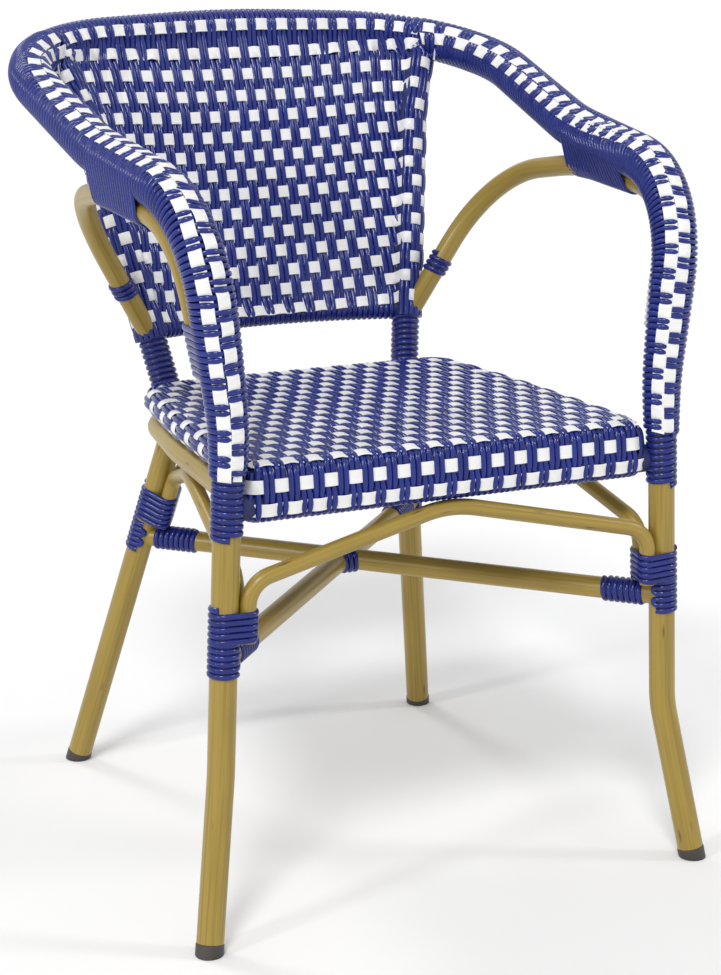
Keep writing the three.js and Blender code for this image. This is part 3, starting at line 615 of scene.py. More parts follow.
@dataclass(frozen=True)
class BambooPaint:
    """Satin olive-yellow paint with lengthwise streaks and small brown node marks."""

    pale: Triple = (0.345, 0.240, 0.040)
    deep: Triple = (0.260, 0.172, 0.026)
    mark: Triple = (0.12, 0.065, 0.02)
    none: Triple = (0.0, 0.0, 0.0)
    roughness: float = 0.34
    streak_scale: Triple = (420.0, 420.0, 7.0)
    streak_range: Span = (0.30, 0.56)
    streak_detail: float = 3.0
    mottle_scale: Triple = (45.0, 45.0, 9.0)
    mottle_range: Span = (0.52, 0.74)
    mottle_detail: float = 2.0
    mottle_most: Triple = (0.55, 0.55, 0.55)
    mark_scale: Triple = (75.0, 75.0, 13.0)
    mark_range: Span = (0.05, 0.13)
    mark_most: Triple = (0.85, 0.85, 0.85)

    def material(self) -> Material:
        """Builds the finish on the tube's grain: streaks along it, mottling and sparse marks.

        Returns:
            The material.
        """
        nodes = Nodes("bamboo_paint")
        streaks = nodes.noise(self.streak_scale, self.streak_detail)
        colour = nodes.ramp(streaks, self.streak_range, (self.deep, self.pale))
        mottle = nodes.noise(self.mottle_scale, self.mottle_detail)
        patches = nodes.ramp(mottle, self.mottle_range, (self.none, self.mottle_most))
        colour = nodes.mix(patches, colour, self.deep)
        cells = nodes.add("ShaderNodeTexVoronoi")
        cells.inputs["Scale"].default_value = 1.0
        nodes.link(nodes.grain(self.mark_scale), cells.inputs["Vector"])
        distance = cells.outputs["Distance"]
        marks = nodes.ramp(distance, self.mark_range, (self.mark_most, self.none))
        colour = nodes.mix(marks, colour, self.mark)
        nodes.link(colour, nodes.shader.inputs["Base Color"])
        nodes.set("Roughness", self.roughness)
        return nodes.material


@dataclass(frozen=True)
class GlossStrand:
    """Glossy moulded strand whose shade differs a little from strand to strand."""

    name: str
    colour: Triple
    shade: Triple
    roughness: float
    gloss: float = 0.4
    noise_scale: Triple = (26.0, 90.0, 7.0)
    noise_range: Span = (0.32, 0.68)
    noise_detail: float = 2.0

    def material(self) -> Material:
        """Builds the finish: two shades mixed by noise along the strand and by its tint.

        Returns:
            The material.
        """
        nodes = Nodes(self.name)
        factor = nodes.noise(self.noise_scale, self.noise_detail)
        colour = nodes.ramp(factor, self.noise_range, (self.shade, self.colour))
        nodes.link(colour, nodes.shader.inputs["Base Color"])
        nodes.set("Roughness", self.roughness)
        nodes.set("Specular IOR Level", self.gloss)
        return nodes.material


@dataclass(frozen=True)
class PlainFinish:
    """One even colour."""

    name: str
    colour: Triple
    roughness: float
    metallic: float = 0.0

    def material(self) -> Material:
        """Builds the finish.

        Returns:
            The material.
        """
        nodes = Nodes(self.name)
        nodes.set("Base Color", (*self.colour, 1.0))
        nodes.set("Roughness", self.roughness)
        nodes.set("Metallic", self.metallic)
        return nodes.material


class Finishes:
    """The chair's materials, each with its slot."""

    def __init__(self) -> None:
        """Builds all of them."""
        weave = MaterialSlot.WEAVE
        blue = GlossStrand("blue_strand", (0.012, 0.026, 0.215), (0.008, 0.016, 0.155), 0.17)
        white = GlossStrand("white_tape", (0.86, 0.86, 0.85), (0.80, 0.80, 0.79), 0.34)
        lashing = GlossStrand("lashing_strand", (0.012, 0.023, 0.190), (0.008, 0.015, 0.140), 0.17)
        # Painted shade: a very dark, matte blue for the shade seen between and under the strands,
        # worn by the dark tubes under every cover.
        core = PlainFinish("sleeve_lining", (0.012, 0.018, 0.09), 0.6)
        cap = PlainFinish("cap_plastic", (0.045, 0.038, 0.034), 0.55)
        bare = PlainFinish("bare_aluminium", (0.62, 0.63, 0.64), 0.42, 0.9)
        self.bamboo = BambooPaint().material(), MaterialSlot.BAMBOO
        self.blue = blue.material(), weave
        self.white = white.material(), weave
        self.lashing = lashing.material(), MaterialSlot.BINDING
        self.core = core.material(), weave
        self.cap = cap.material(), MaterialSlot.CAP
        self.bare = bare.material(), MaterialSlot.BARE


# ------------------------------
# The runs of the frame


@dataclass(frozen=True)
class Tubes:
    """Radii of the chair's tubes, and the gap where they seat on each other."""

    frame: float = 13.25
    stretcher: float = 11.0
    arch: float = 11.0
    brace: float = 8.0
    ring: float = 10.0
    back_rail: float = 8.8
    gap: float = 0.3
    cover: float = 3.2


HOOP_HALF: tuple[Corner, ...] = (
    ((269, -265, 0), 0), ((243.5, -236, 165), 130), ((230, -233, 502), 300),
    ((253, -224, 699), 107), ((265, 7, 725), 300), ((274, 191, 778), 150), ((228, 311, 805), 140),
)
HOOP_CROWN: Corner = ((0, 324, 814), 900)
REAR_LEG: tuple[Corner, ...] = (((218, 266, 0), 0), ((136, 148, 416), 100), ((192, 248, 722), 90))

# Ways from a leg's middle line to the ends of the braces that lie against it.
FRONT_WAY = unit(np.array((-0.96, -0.28, 0.0)))
REAR_WAY = unit(np.array((-0.98, 0.2, 0.0)))
SIDE_FRONT_WAY = unit(np.array((-0.78, 0.62, 0.0)))
SIDE_REAR_WAY = unit(np.array((-0.36, -0.93, 0.0)))


@dataclass
class ChairRuns:
    """The middle lines of all tubes, worked out from the same sizes as the part's solids."""

    tubes: Tubes = Tubes()
    leg_top_half_span: float = 221.0
    seat_height: float = 462.0
    post_inset: float = 24.6
    post_setback: float = 9.8
    side_half_width: float = 189.0
    leg_outset: float = 28.0
    front_corner: float = 27.0
    side_bend: float = 400.0
    rear_corner: float = 36.0
    front_rail_inset: float = 8.0
    back_rail_height: float = 509.0
    back_rail_bow: float = 29.0
    stretcher_height: float = 280.0
    brace_end_rise: float = 15.4
    brace_knee_rise: float = 72.0
    brace_knee_bend: float = 28.0
    brace_crown_bend: float = 120.0
    front_crown_reach: float = 227.0
    arm_cover: float = 24.4
    back_rail_steps: int = 60
    arch_foot_height: float = 498.0
    arch_knee: Corner = ((245, 149, 660), 125)
    arch_crown: Triple = (266.0, -10.0, 300)
    arch_drop: Triple = (262.0, -190.0, 76)
    arch_drop_fall: float = 9.0
    arch_end_height: float = 548.0
    arch_end_outward: float = 0.2

    def __post_init__(self) -> None:
        """Works the runs out in the order in which they rest on each other."""
        tubes = self.tubes
        self.hoop = Path(bent_points([*HOOP_HALF, HOOP_CROWN, *mirrored(HOOP_HALF)]), UP)
        top = self.hoop.point_where(0, self.leg_top_half_span)
        self.rear_leg = Path(bent_points([*REAR_LEG, (tuple(top), 0)]), SIDEWAYS)
        self.stile_top = self.rear_leg.points[-1]
        ring_cover = tubes.ring + tubes.gap + tubes.cover
        self.ring_height = self.seat_height - ring_cover
        self.rail_height = self.ring_height - ring_cover - tubes.gap - tubes.frame
        self.seat_front = float(self.hoop.point_where(2, self.ring_height)[1]) + self.post_setback
        ring = self._seat_corners(self.ring_height, ring_cover)
        self.ring = Path(bent_points([*mirrored(ring), *ring]), UP)
        rail = self._seat_corners(self.rail_height, tubes.frame)[:-1]
        rail[0] = (rail[0][0], 0)
        self.side_rail = Path(bent_points([*rail, *mirrored(rail)]), UP)
        end = self.hoop.point_where(2, self.rail_height)
        half = float(end[0]) - self.front_rail_inset
        ends = [(half * sign, self.seat_front, self.rail_height) for sign in (1, -1)]
        self.front_rail = Path(np.array(ends), UP)
        self.back_rail = self._back_rail()
        self.arch = self._arch()
        legs = self.hoop, self.rear_leg
        front, rear = (run.point_where(2, self.stretcher_height) for run in legs)
        self.stretcher = Path(np.stack([front, rear * FLIP]), UP)
        self.cross_stretcher = Path(np.stack([front * FLIP, rear]), UP)
        self.braces = self._braces()

    def _seat_corners(self, height: float, radius: float) -> list[Corner]:
        """Works out the right half of the seat's plan, whose rear edge bears on the rear leg."""
        along = self.rear_leg.where(2, height)
        leg, (tangent, _, _) = self.rear_leg.at(along), self.rear_leg.frame(along)
        lean = hypot(tangent[1], tangent[2]) / tangent[2]
        rear_edge = float(leg[1] - (self.tubes.frame + radius + self.tubes.gap) * lean)
        front = float(self.hoop.point_where(2, height)[0]) - self.post_inset
        return [
            ((front, self.seat_front, height), self.front_corner),
            ((self.side_half_width, 0.0, height), self.side_bend),
            ((float(leg[0]) + self.leg_outset, rear_edge, height), self.rear_corner),
            ((self.tubes.gap / 2, rear_edge, height), 0),
        ]

    def _back_rail(self) -> Path:
        """The lower back rail: an arc between the stiles that bows to the rear."""
        end = self.rear_leg.point_where(2, self.back_rail_height)
        radius = (end[0] ** 2 + self.back_rail_bow**2) / (2 * self.back_rail_bow)
        reach = np.arcsin(end[0] / radius)
        angles = np.linspace(reach, -reach, self.back_rail_steps + 1)
        y = end[1] + self.back_rail_bow - radius + radius * np.cos(angles)
        heights = np.full_like(angles, self.back_rail_height)
        return Path(np.stack([radius * np.sin(angles), y, heights], -1), UP)

    def _arch(self) -> Path:
        """Works out the right arch, from the stile up under the arm and down beside the post."""
        tubes, outward = self.tubes, self.arch_end_outward
        foot = self.rear_leg.point_where(2, self.arch_foot_height)
        way = np.array((outward, sqrt(1 - outward**2), 0.0))
        apart = tubes.frame + tubes.gap + tubes.arch
        end = self.hoop.point_where(2, self.arch_end_height) + way * apart
        (span, y, bend), (drop_span, drop_y, drop_bend) = self.arch_crown, self.arch_drop
        top = float(self.hoop.point_where(1, y)[2]) - self.arm_cover - tubes.gap - tubes.arch
        drop = (drop_span, drop_y, top - self.arch_drop_fall)
        corners = [(tuple(foot), 0), self.arch_knee, ((span, y, top), bend), (drop, drop_bend)]
        return Path(bent_points([*corners, (tuple(end), 0)]), SIDEWAYS)

    def _beside(self, run: Path, height: float, way: Array) -> Array:
        """Finds where a brace lies against a leg."""
        along = run.where(2, height)
        tangent = run.frame(along)[0]
        lean = sqrt(1 - float(way @ tangent) ** 2)
        return run.at(along) + way * (self.tubes.frame + self.tubes.gap + self.tubes.brace) / lean

    def _braces(self) -> dict[str, Path]:
        """Works out the arched braces: an upright beside each leg, a knee and one low crown."""
        tubes = self.tubes
        end_height = self.stretcher_height + self.brace_end_rise
        knee_height = self.stretcher_height + self.brace_knee_rise

        def foot(run: Path, way: Array) -> Curve:
            """The end and the knee of a brace beside a leg."""
            return self._beside(run, end_height, way), self._beside(run, knee_height, way)

        def brace(first: Curve, last: Curve, plan: Array, ceiling: float) -> Path:
            """A brace between two feet whose crown, at a place in plan, clears a ceiling."""
            half = float(np.linalg.norm(first[1] - last[1])) / 2
            slope = atan2(ceiling - knee_height, half)
            loss = self.brace_crown_bend * (1 / cos(slope) - 1)
            crown = (float(plan[0]), float(plan[1]), ceiling - tubes.gap - tubes.brace + loss)
            knees = [(tuple(knee), self.brace_knee_bend) for _, knee in (first, last)]
            ends = [(tuple(end), 0) for end, _ in (first, last)]
            middle = (crown, self.brace_crown_bend)
            return Path(bent_points([ends[0], knees[0], middle, knees[1], ends[1]]), UP)

        front, rear = foot(self.hoop, FRONT_WAY), foot(self.rear_leg, REAR_WAY)
        sides = foot(self.hoop, SIDE_FRONT_WAY), foot(self.rear_leg, SIDE_REAR_WAY)
        rail_floor = self.rail_height - tubes.frame
        apron_floor = rail_floor - tubes.gap - tubes.cover
        front_plan = np.array((0, -self.front_crown_reach, 0))
        rear_plan = self.side_rail.point_where(0, 0.0)
        legs = (run.point_where(2, knee_height) for run in (self.hoop, self.rear_leg))
        side_plan = self.side_rail.point_where(1, float(sum(legs)[1]) / 2)
        return {
            "front": brace(front, [point * FLIP for point in front], front_plan, apron_floor),
            "rear": brace(rear, [point * FLIP for point in rear], rear_plan, rail_floor),
            "side": brace(*sides, side_plan, rail_floor),
        }


# ------------------------------
# Tube frame and foot caps


@dataclass
class TubeFrame:
    """All tubes of the chair, smooth and round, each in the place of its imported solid."""

    runs: ChairRuns
    shop: Workshop
    cap_height: float = 11.3

    def build(self) -> None:
        """Makes every tube a piece: those that cross the middle, then those of each side."""
        runs, tubes, cap = self.runs, self.runs.tubes, self.cap_height
        hoop, cross, braces = runs.hoop, runs.cross_stretcher, runs.braces
        half = cross.where(0, 0.0)
        bamboo, bare = self.shop.finishes.bamboo, self.shop.finishes.bare
        for node, run, radius, finish, start, end in (
            ("front_leg_arm_hoop", hoop, tubes.frame, bamboo, cap, hoop.length - cap),
            ("seat_support_rail", runs.side_rail, tubes.frame, bamboo, 0.0, None),
            ("front_seat_rail", runs.front_rail, tubes.frame, bare, 0.0, None),
            ("seat_frame_ring", runs.ring, tubes.ring, bare, 0.0, None),
            ("lower_back_rail", runs.back_rail, tubes.back_rail, bare, 0.0, None),
            ("front_arched_brace", braces["front"], tubes.brace, bamboo, 0.0, None),
            ("rear_arched_brace", braces["rear"], tubes.brace, bamboo, 0.0, None),
            ("cross_brace_through", runs.stretcher, tubes.stretcher, bamboo, 0.0, None),
            ("cross_brace_front_half", cross, tubes.stretcher, bamboo, 0.0, half),
            ("cross_brace_rear_half", cross, tubes.stretcher, bamboo, half, None),
        ):
            self._add(node, run, radius, finish, start, end)
        for side in Side:
            for name, run, radius, reference, start in (
                ("rear_leg_stile", runs.rear_leg, tubes.frame, SIDEWAYS, cap),
                ("arm_arch", runs.arch, tubes.arch, SIDEWAYS, 0.0),
                ("arched_brace", braces["side"], tubes.brace, UP, 0.0),
            ):
                turned = Path(side.turn(run.points), side.turn(reference))
                self._add(f"{side.label}_{name}", turned, radius, bamboo, start)

    def _add(
        self, node: str, run: Path, radius: float, finish: Finish, start: float,
        end: Optional[float] = None,
    ) -> None:
        """Makes one tube the piece that stands for a node.

        Args:
            node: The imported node.
            run: The tube's middle line.
            radius: Its radius.
            finish: Its material and slot.
            start: The length at which it starts.
            end: The length at which it ends, or None for the run's own end.
        """
        skin = Skin()
        lay_tube(skin, run, radius, start, run.length if end is None else end)
        self.shop.finish(skin, f"{node}_tube", finish, node)


@dataclass
class FootCaps:
    """Dark moulded caps, cut flat where they meet the floor."""

    runs: ChairRuns
    shop: Workshop
    height: float = 11.0
    lip: float = 0.5
    edge: float = 2.4
    toe: float = 0.9
    sides: int = 32
    edge_steps: int = 4

    def build(self) -> None:
        """Makes the four caps."""
        legs = ("front", self.runs.hoop), ("rear", self.runs.rear_leg)
        for side, (name, run) in product(Side, legs):
            skin = Skin()
            self._lay(skin, side, run)
            node = f"{side.label}_{name}_foot_cap"
            self.shop.finish(skin, f"{node}_plastic", self.shop.finishes.cap, node)

    def _lay(self, skin: Skin, side: Side, run: Path) -> None:
        """Lays rings round the leg's end.

        A ring is foot + q + t d, with q a circle across the leg, t the leg's way and d the distance
        up it. The lowest rings slide along t until they lie level at the floor.
        """
        foot, (tangent, normal, binormal) = run.at(0.0), run.frame(0.0)
        angles = FULL_TURN * np.arange(self.sides) / self.sides
        spokes = spread(normal, binormal, circle(angles))
        radius = self.runs.tubes.frame + self.lip
        rings = []
        for reach, rise in ((radius - self.toe, 0.0), (radius, self.toe)):
            q = spokes * reach
            rings.append(foot + q + tangent * ((rise - q[:, 2]) / tangent[2])[:, None])
        drop = self.edge / 2
        for angle in np.linspace(0, pi / 2, self.edge_steps + 1):
            reach = radius - drop * (1 - cos(angle))
            rings.append(foot + spokes * reach + tangent * (self.height - drop * (1 - sin(angle))))
        rings.append(foot + spokes * (radius - self.edge) + tangent * self.height)
        body = side.turn(np.stack(rings))[:, :: side.value]
        skin.add_rings(body, body)


# ------------------------------
# Weave


@dataclass(frozen=True)
class WeaveSizes:
    """Strand sizes and the levels that strands take over and under each other."""

    strand: Strand = Strand(5.95, 2.6)
    tape: Strand = Strand(12.9, 1.2)
    pair_half: float = 3.03
    strand_mean: float = -1.3
    strand_swing: float = 1.0
    strand_free: float = -0.7
    tape_swing: float = 0.9
    squareness: float = 2.2
    warp_step: float = 3.9
    weft_step: float = 2.6
    outer_pitch: float = 23.0

    def wave(self, phase: Array) -> Array:
        """tanh(q cos(pi phase)) / tanh q: +1 at even whole numbers and -1 at odd ones."""
        return np.tanh(self.squareness * np.cos(pi * phase)) / np.tanh(self.squareness)


class WovenSurface(ABC):
    """A smooth surface given by two lengths: u across it, towards +X, and v along it."""

    taps: tuple[float, ...] = (-4.0, -2.0, 0.0, 2.0, 4.0)

    @abstractmethod
    def raw(self, u: Array, v: Array) -> Array:
        """The points of the surface before its creases are eased."""

    def ease(self, v: Array) -> Array:
        """How much farther than usual a crease at v is rounded."""
        return np.ones_like(v)

    def point(self, u: Array, v: Array) -> Array:
        """The mean of raw points at a few v on both sides, which rounds the creases."""
        v = np.asarray(v, float)
        return sum(self.raw(u, v + tap * self.ease(v)) for tap in self.taps) / len(self.taps)

    def outs(self, u: Array, v: Array, step: float = 1.0) -> Array:
        """Finds the outward directions: the product of the slopes along u and along v.

        Args:
            u: Places across.
            v: Places along.
            step: How far away the slopes are measured.

        Returns:
            The directions, n x 3.
        """
        across = self.point(u + step, v) - self.point(u - step, v)
        along = self.point(u, v + step) - self.point(u, v - step)
        return unit(np.cross(across, along))

    def lay(
        self, skin: Skin, u: Array, v: Array, levels: Array, profile: Array, tint: float,
        ease: int = 0,
    ) -> None:
        """Lays one strand over a line of the surface.

        Args:
            skin: The mesh that takes it.
            u: The line's places across.
            v: The line's places along.
            levels: Its heights off the surface.
            profile: The strand's outline.
            tint: Its shade number.
            ease: Over how many neighbours to each side the line is evened, so that it cuts corners.
        """
        outs = unit(relaxed(self.outs(u, v), ease))
        centres = relaxed(self.point(u, v), ease) + outs * levels[:, None]
        lay_strand(skin, centres, outs, profile, tint)


def steps_between(low: float, high: float, step: float) -> Array:
    """Even places from low to high, about a step apart."""
    return np.linspace(low, high, max(3, int(round((high - low) / step)) + 1))


@dataclass
class BackSurface(WovenSurface):
    """The back's middle surface: lower rail roll, bowed panel with its stile rolls, and hoop roll.

    u is the length across at that height and v the length up, with v = 0 at the lower rail's
    height and v = `rise` at the hoop's.
    """

    runs: ChairRuns
    rail_roll: float = 10.8
    hoop_roll: float = 20.1
    stile_roll: float = 16.7
    rail_inset: float = 5.4
    hoop_inset: float = 16.5
    stile_inset: float = 9.0
    inset_power: int = 6
    crease_ease: float = 1.2
    crease_reach: float = 14.0

    def __post_init__(self) -> None:
        """Works out the panel's spans and where its creases lie."""
        runs, hoop = self.runs, self.runs.hoop
        self.half_low = runs.back_rail.length / 2
        self.half_high = hoop.length / 2 - hoop.where(0, runs.leg_top_half_span)
        self.foot = runs.rear_leg.point_where(2, runs.back_rail_height)
        self.top = runs.stile_top
        self.rise = float(self.top[2] - self.foot[2])
        self.low_crease = sqrt(self.rail_roll**2 - self.rail_inset**2)
        self.high_crease = self.rise - sqrt(self.hoop_roll**2 - self.hoop_inset**2)
        self.stile_crease = sqrt(self.stile_roll**2 - self.stile_inset**2)
        upper = runs.rear_leg.points[:, 2] > runs.ring_height
        self.stile_lengths = runs.rear_leg.lengths[upper]
        self.stile_heights = runs.rear_leg.points[upper, 2]

    def ease(self, v: Array) -> Array:
        """Rounds the crease under the hoop far more than the others."""
        away = (v - self.high_crease) / self.crease_reach
        return 1 + self.crease_ease * np.exp(-(away**2))

    def half(self, v: Array) -> Array:
        """Half the panel's width, stile axis to middle, at a height."""
        share = np.clip(v / self.rise, 0, 1)
        return self.half_low + (self.half_high - self.half_low) * share

    def flat_half(self, v: Array) -> Array:
        """Half the width up to the crease beside the stile's roll."""
        return self.half(v) - self.stile_crease

    def _stile(self, v: Array) -> Array:
        """Lengths along the right stile at heights."""
        level = self.foot[2] + (self.top[2] - self.foot[2]) * v / self.rise
        return np.interp(level, self.stile_heights, self.stile_lengths)

    def _panel(self, u: Array, v: Array) -> Array:
        """The open panel: rail to hoop in a straight line, plus the stile's bow, less the inset."""
        side = u / self.half(v)
        rise = (v / self.rise)[:, None]
        low = self.runs.back_rail.at(self.half_low * (1 - side))
        high = self.runs.hoop.at(self.runs.hoop.length / 2 - self.half_high * side)
        edge = self.runs.rear_leg.at(self._stile(v))
        bow = edge - (self.foot + (self.top - self.foot) * rise)
        middle = self.rail_inset + (self.hoop_inset - self.rail_inset) * rise[:, 0]
        fade = 1 - rise[:, 0] ** self.inset_power
        inset = middle + (self.stile_inset - middle) * side * fade
        shift = np.stack([bow[:, 0] * side, bow[:, 1] - inset, bow[:, 2]], -1)
        return low + (high - low) * rise + shift

    def _roll(self, run: Path, at: Array, radius: float, angles: Array) -> Array:
        """A roll round a level tube: axis + r (inward cos a + up sin a)."""
        tangent = run.frame(at)[0]
        inward = unit(np.cross(UP, tangent))
        upward = np.cross(tangent, inward)
        return run.at(at) + radius * spread(inward, upward, circle(angles))

    def _stile_point(self, over: Array, v: Array) -> Array:
        """The stile's roll: axis + r (front cos b + outward sin b)."""
        at = self._stile(v)
        tangent = self.runs.rear_leg.frame(at)[0]
        front = unit(FRONT - dot(tangent, FRONT) * tangent)
        outward = np.cross(tangent, front)
        start = -np.arccos(self.stile_inset / self.stile_roll)
        spokes = spread(front, outward, circle(start + over / self.stile_roll))
        return self.runs.rear_leg.at(at) + self.stile_roll * spokes

    def raw(self, u: Array, v: Array) -> Array:
        """Picks rail roll, panel, stile roll or hoop roll by u and v, worked out at +x.

        Args:
            u: Places across.
            v: Places along.

        Returns:
            The points, n x 3.
        """
        u, v = np.broadcast_arrays(np.asarray(u, float), np.asarray(v, float))
        across = np.abs(u)
        inside = np.clip(v, self.low_crease, self.high_crease)
        flat = self.flat_half(inside)
        over = across - flat
        panel = self._panel(np.minimum(across, flat), inside)
        stile = self._stile_point(np.maximum(over, 0), np.minimum(v, self.high_crease))
        turned = (v - self.low_crease) / self.rail_roll
        angle = np.arccos(self.rail_inset / self.rail_roll) + turned
        along = np.clip(self.half_low - across, 0, None)
        rail = self._roll(self.runs.back_rail, along, self.rail_roll, angle)
        turned = (v - self.high_crease) / self.hoop_roll
        angle = turned - np.arccos(self.hoop_inset / self.hoop_roll)
        hoop = self.runs.hoop
        roll = self._roll(hoop, hoop.length / 2 - across, self.hoop_roll, angle)
        where = [v > self.high_crease, over > 0, v < self.low_crease]
        points = np.select([here[:, None] for here in where], [roll, stile, rail], panel)
        return points * np.where((u < 0)[:, None], FLIP, 1.0)


@dataclass
class WovenCover(ABC):
    """A cover of blue strand and white tape, woven over and under each other on a dark core of
    painted shade.
    """

    runs: ChairRuns
    shop: Workshop
    sizes: WeaveSizes
    strands: Skin = field(default_factory=Skin, init=False)
    tapes: Skin = field(default_factory=Skin, init=False)
    # Dark tubes under the strands, coloured as painted shade.
    lining: Skin = field(default_factory=Skin, init=False)

    @abstractmethod
    def lay(self) -> None:
        """Lays all strands, tapes and painted-shade cores of the cover."""

    def build(self, node: str, names: Sequence[str]) -> None:
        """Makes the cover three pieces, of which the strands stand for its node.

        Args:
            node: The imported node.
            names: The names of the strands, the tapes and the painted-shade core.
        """
        self.lay()
        finishes = self.shop.finishes
        self.shop.finish(self.strands, names[0], finishes.blue, node)
        self.shop.finish(self.tapes, names[1], finishes.white)
        self.shop.finish(self.lining, names[2], finishes.core)


@dataclass
class WovenPanel(WovenCover):
    """A cover with numbered rows of tape across pairs of strand."""

    def warp_levels(
        self, rows: Array, pair: float, first: Sequence[float], last: Sequence[float]
    ) -> Array:
        """Works out a warp's heights: under the tape where row + pair is odd.

        Args:
            rows: The row numbers along it.
            pair: The pair's number.
            first: The row numbers between which it starts to weave.
            last: The row numbers between which it comes to rest again.

        Returns:
            The heights.
        """
        sizes = self.sizes
        level = sizes.strand_mean - sizes.strand_swing * sizes.wave(rows + pair + 1)
        rest = np.maximum(1 - smooth_step(rows, *first), smooth_step(rows, *last))
        return level * (1 - rest) + sizes.strand_free * rest

    def tape_levels(self, number: int, pair: Array) -> Array:
        """The heights of a numbered tape: over a pair where row + pair is odd."""
        return relaxed(self.sizes.tape_swing * self.sizes.wave(number + pair + 1), 1)


@dataclass
class BackWeave(WovenPanel):
    """The back panel: blue pairs that run up it and over the hoop, checkered with white tape."""

    pitch: float = 12.25
    shift: float = 2.0
    roll_half: float = 235.0
    roll_tape_short: float = 4.0
    top_wrap: float = radians(310)
    low_wrap: float = radians(290)
    height_steps: int = 240
    rows: tuple[float, ...] = (
        296.9, 266.6, 245.2, 223.4, 202.8, 181.9, 162.2, 143.3, 124.2, 104.4, 84.4, 64.7, 45.0,
        25.5, 5.2,
    )
    first_fade: Span = (0.35, 0.8)
    last_fade: Span = (15.25, 15.7)
    row_rise: float = 10.2
    row_rise_span: float = 175.0
    roll_row_rise: float = 3.1
    stile_pairs: int = 7
    stile_low: float = -9.0
    stile_past: float = 2.0
    edge_slack: float = 1.5
    crease_row: int = 2
    crease_lift: float = 1.6
    tint_step: float = 0.37
    stile_tint_step: float = 0.41
    # Sizes of the dark tubes of painted shade under the back's weave.
    lining_half: float = 226.0
    hoop_shade_core_depth: float = 3.2
    rail_lining: float = 30.0
    rail_lining_depth: float = 1.2
    stile_shade_core_depth: float = 2.5
    stile_shade_core_past: float = 8.0

    def __post_init__(self) -> None:
        """Works out the surface that the back is woven on."""
        self.surface = BackSurface(self.runs)

    def lay(self) -> None:
        """Lays the warps, the tapes and the dark core of painted shade."""
        self._lay_pairs()
        self._lay_stile_pairs()
        self._lay_tapes()
        self._lay_lining()

    def _lay_lining(self) -> None:
        """Lays dark tubes of painted shade close round the hoop, the stiles and the ends of the
        lower rail.
        """
        skin, surface = self.lining, self.surface
        runs, past = self.runs, self.stile_shade_core_past
        start = runs.hoop.where(0, self.lining_half)
        radius = surface.hoop_roll - self.hoop_shade_core_depth
        lay_tube(skin, runs.hoop, radius, start, runs.hoop.length - start)
        radius = surface.rail_roll - self.rail_lining_depth
        for start in (0.0, runs.back_rail.length - self.rail_lining):
            lay_tube(skin, runs.back_rail, radius, start, start + self.rail_lining)
        radius = surface.stile_roll - self.stile_shade_core_depth
        low = runs.rear_leg.where(2, runs.back_rail_height - past)
        for side in Side:
            stile = Path(side.turn(runs.rear_leg.points), SIDEWAYS)
            lay_tube(skin, stile, radius, low, stile.length - past)

    def _edge_rise(self, height: Array, u: Array) -> Array:
        """How much a row of a height lies higher at u than in the middle: a parabola in u."""
        rise = np.interp(height, self.rows[1::-1], (self.row_rise, self.roll_row_rise))
        return rise * (u / self.row_rise_span) ** 2

    def row_at(self, u: Array, v: Array) -> Array:
        """The row number at places, counted down from 1 on the hoop.

        Args:
            u: Places across.
            v: Places along.

        Returns:
            The numbers as a smooth function.
        """
        numbers = range(len(self.rows), 0, -1)
        places = v - self._edge_rise(v, u)
        return read_off(places, self.rows[::-1], numbers, self.sizes.outer_pitch)

    def _lay_warp(self, u: Array, v: Array, row_u: Array, pair: int, tint: float) -> None:
        """Lays one strand of a pair.

        Args:
            u: Its places across.
            v: Its places along.
            row_u: The places across by which it meets the rows.
            pair: The pair's number.
            tint: Its shade number.
        """
        rows = self.row_at(row_u, v)
        levels = self.warp_levels(rows, pair, self.first_fade, self.last_fade)
        self.surface.lay(self.strands, u, v, levels, self.sizes.strand.half_round(), tint)

    def _lay_pairs(self) -> None:
        """Lays the pairs from behind the lower rail up the front and over the hoop to the rear."""
        surface = self.surface
        low, high = surface.low_crease, surface.high_crease
        top = high + self.top_wrap * surface.hoop_roll
        bottom = low - self.low_wrap * surface.rail_roll
        count = int(self.roll_half / self.pitch)
        heights = np.linspace(low, high, self.height_steps)
        widths = surface.flat_half(heights) + self.edge_slack
        for pair, step in product(range(-count, count), PAIR):
            u = (pair + 0.5) * self.pitch + self.shift + step * self.sizes.pair_half
            free = widths > abs(u) + self.sizes.strand.width / 2
            start = bottom if free[0] else (heights[free][0] if free.any() else high)
            v = steps_between(start, top, self.sizes.warp_step)
            line = np.full_like(v, u)
            self._lay_warp(line, v, line, pair, pair + self.tint_step * step)

    def _lay_stile_pairs(self) -> None:
        """Lays the pairs that run down round each stile."""
        surface = self.surface
        high = surface.high_crease + self.stile_past
        v = steps_between(self.stile_low, high, self.sizes.warp_step)
        edge = surface.flat_half(np.maximum(v, surface.low_crease))
        row_u = surface.flat_half(v)
        for side, pair, step in product(Side, range(self.stile_pairs), PAIR):
            over = (pair + 0.5) * self.pitch + step * self.sizes.pair_half
            tint = pair + self.stile_tint_step * step + side.value
            self._lay_warp((edge + over) * side.value, v, row_u, pair + 1, tint)

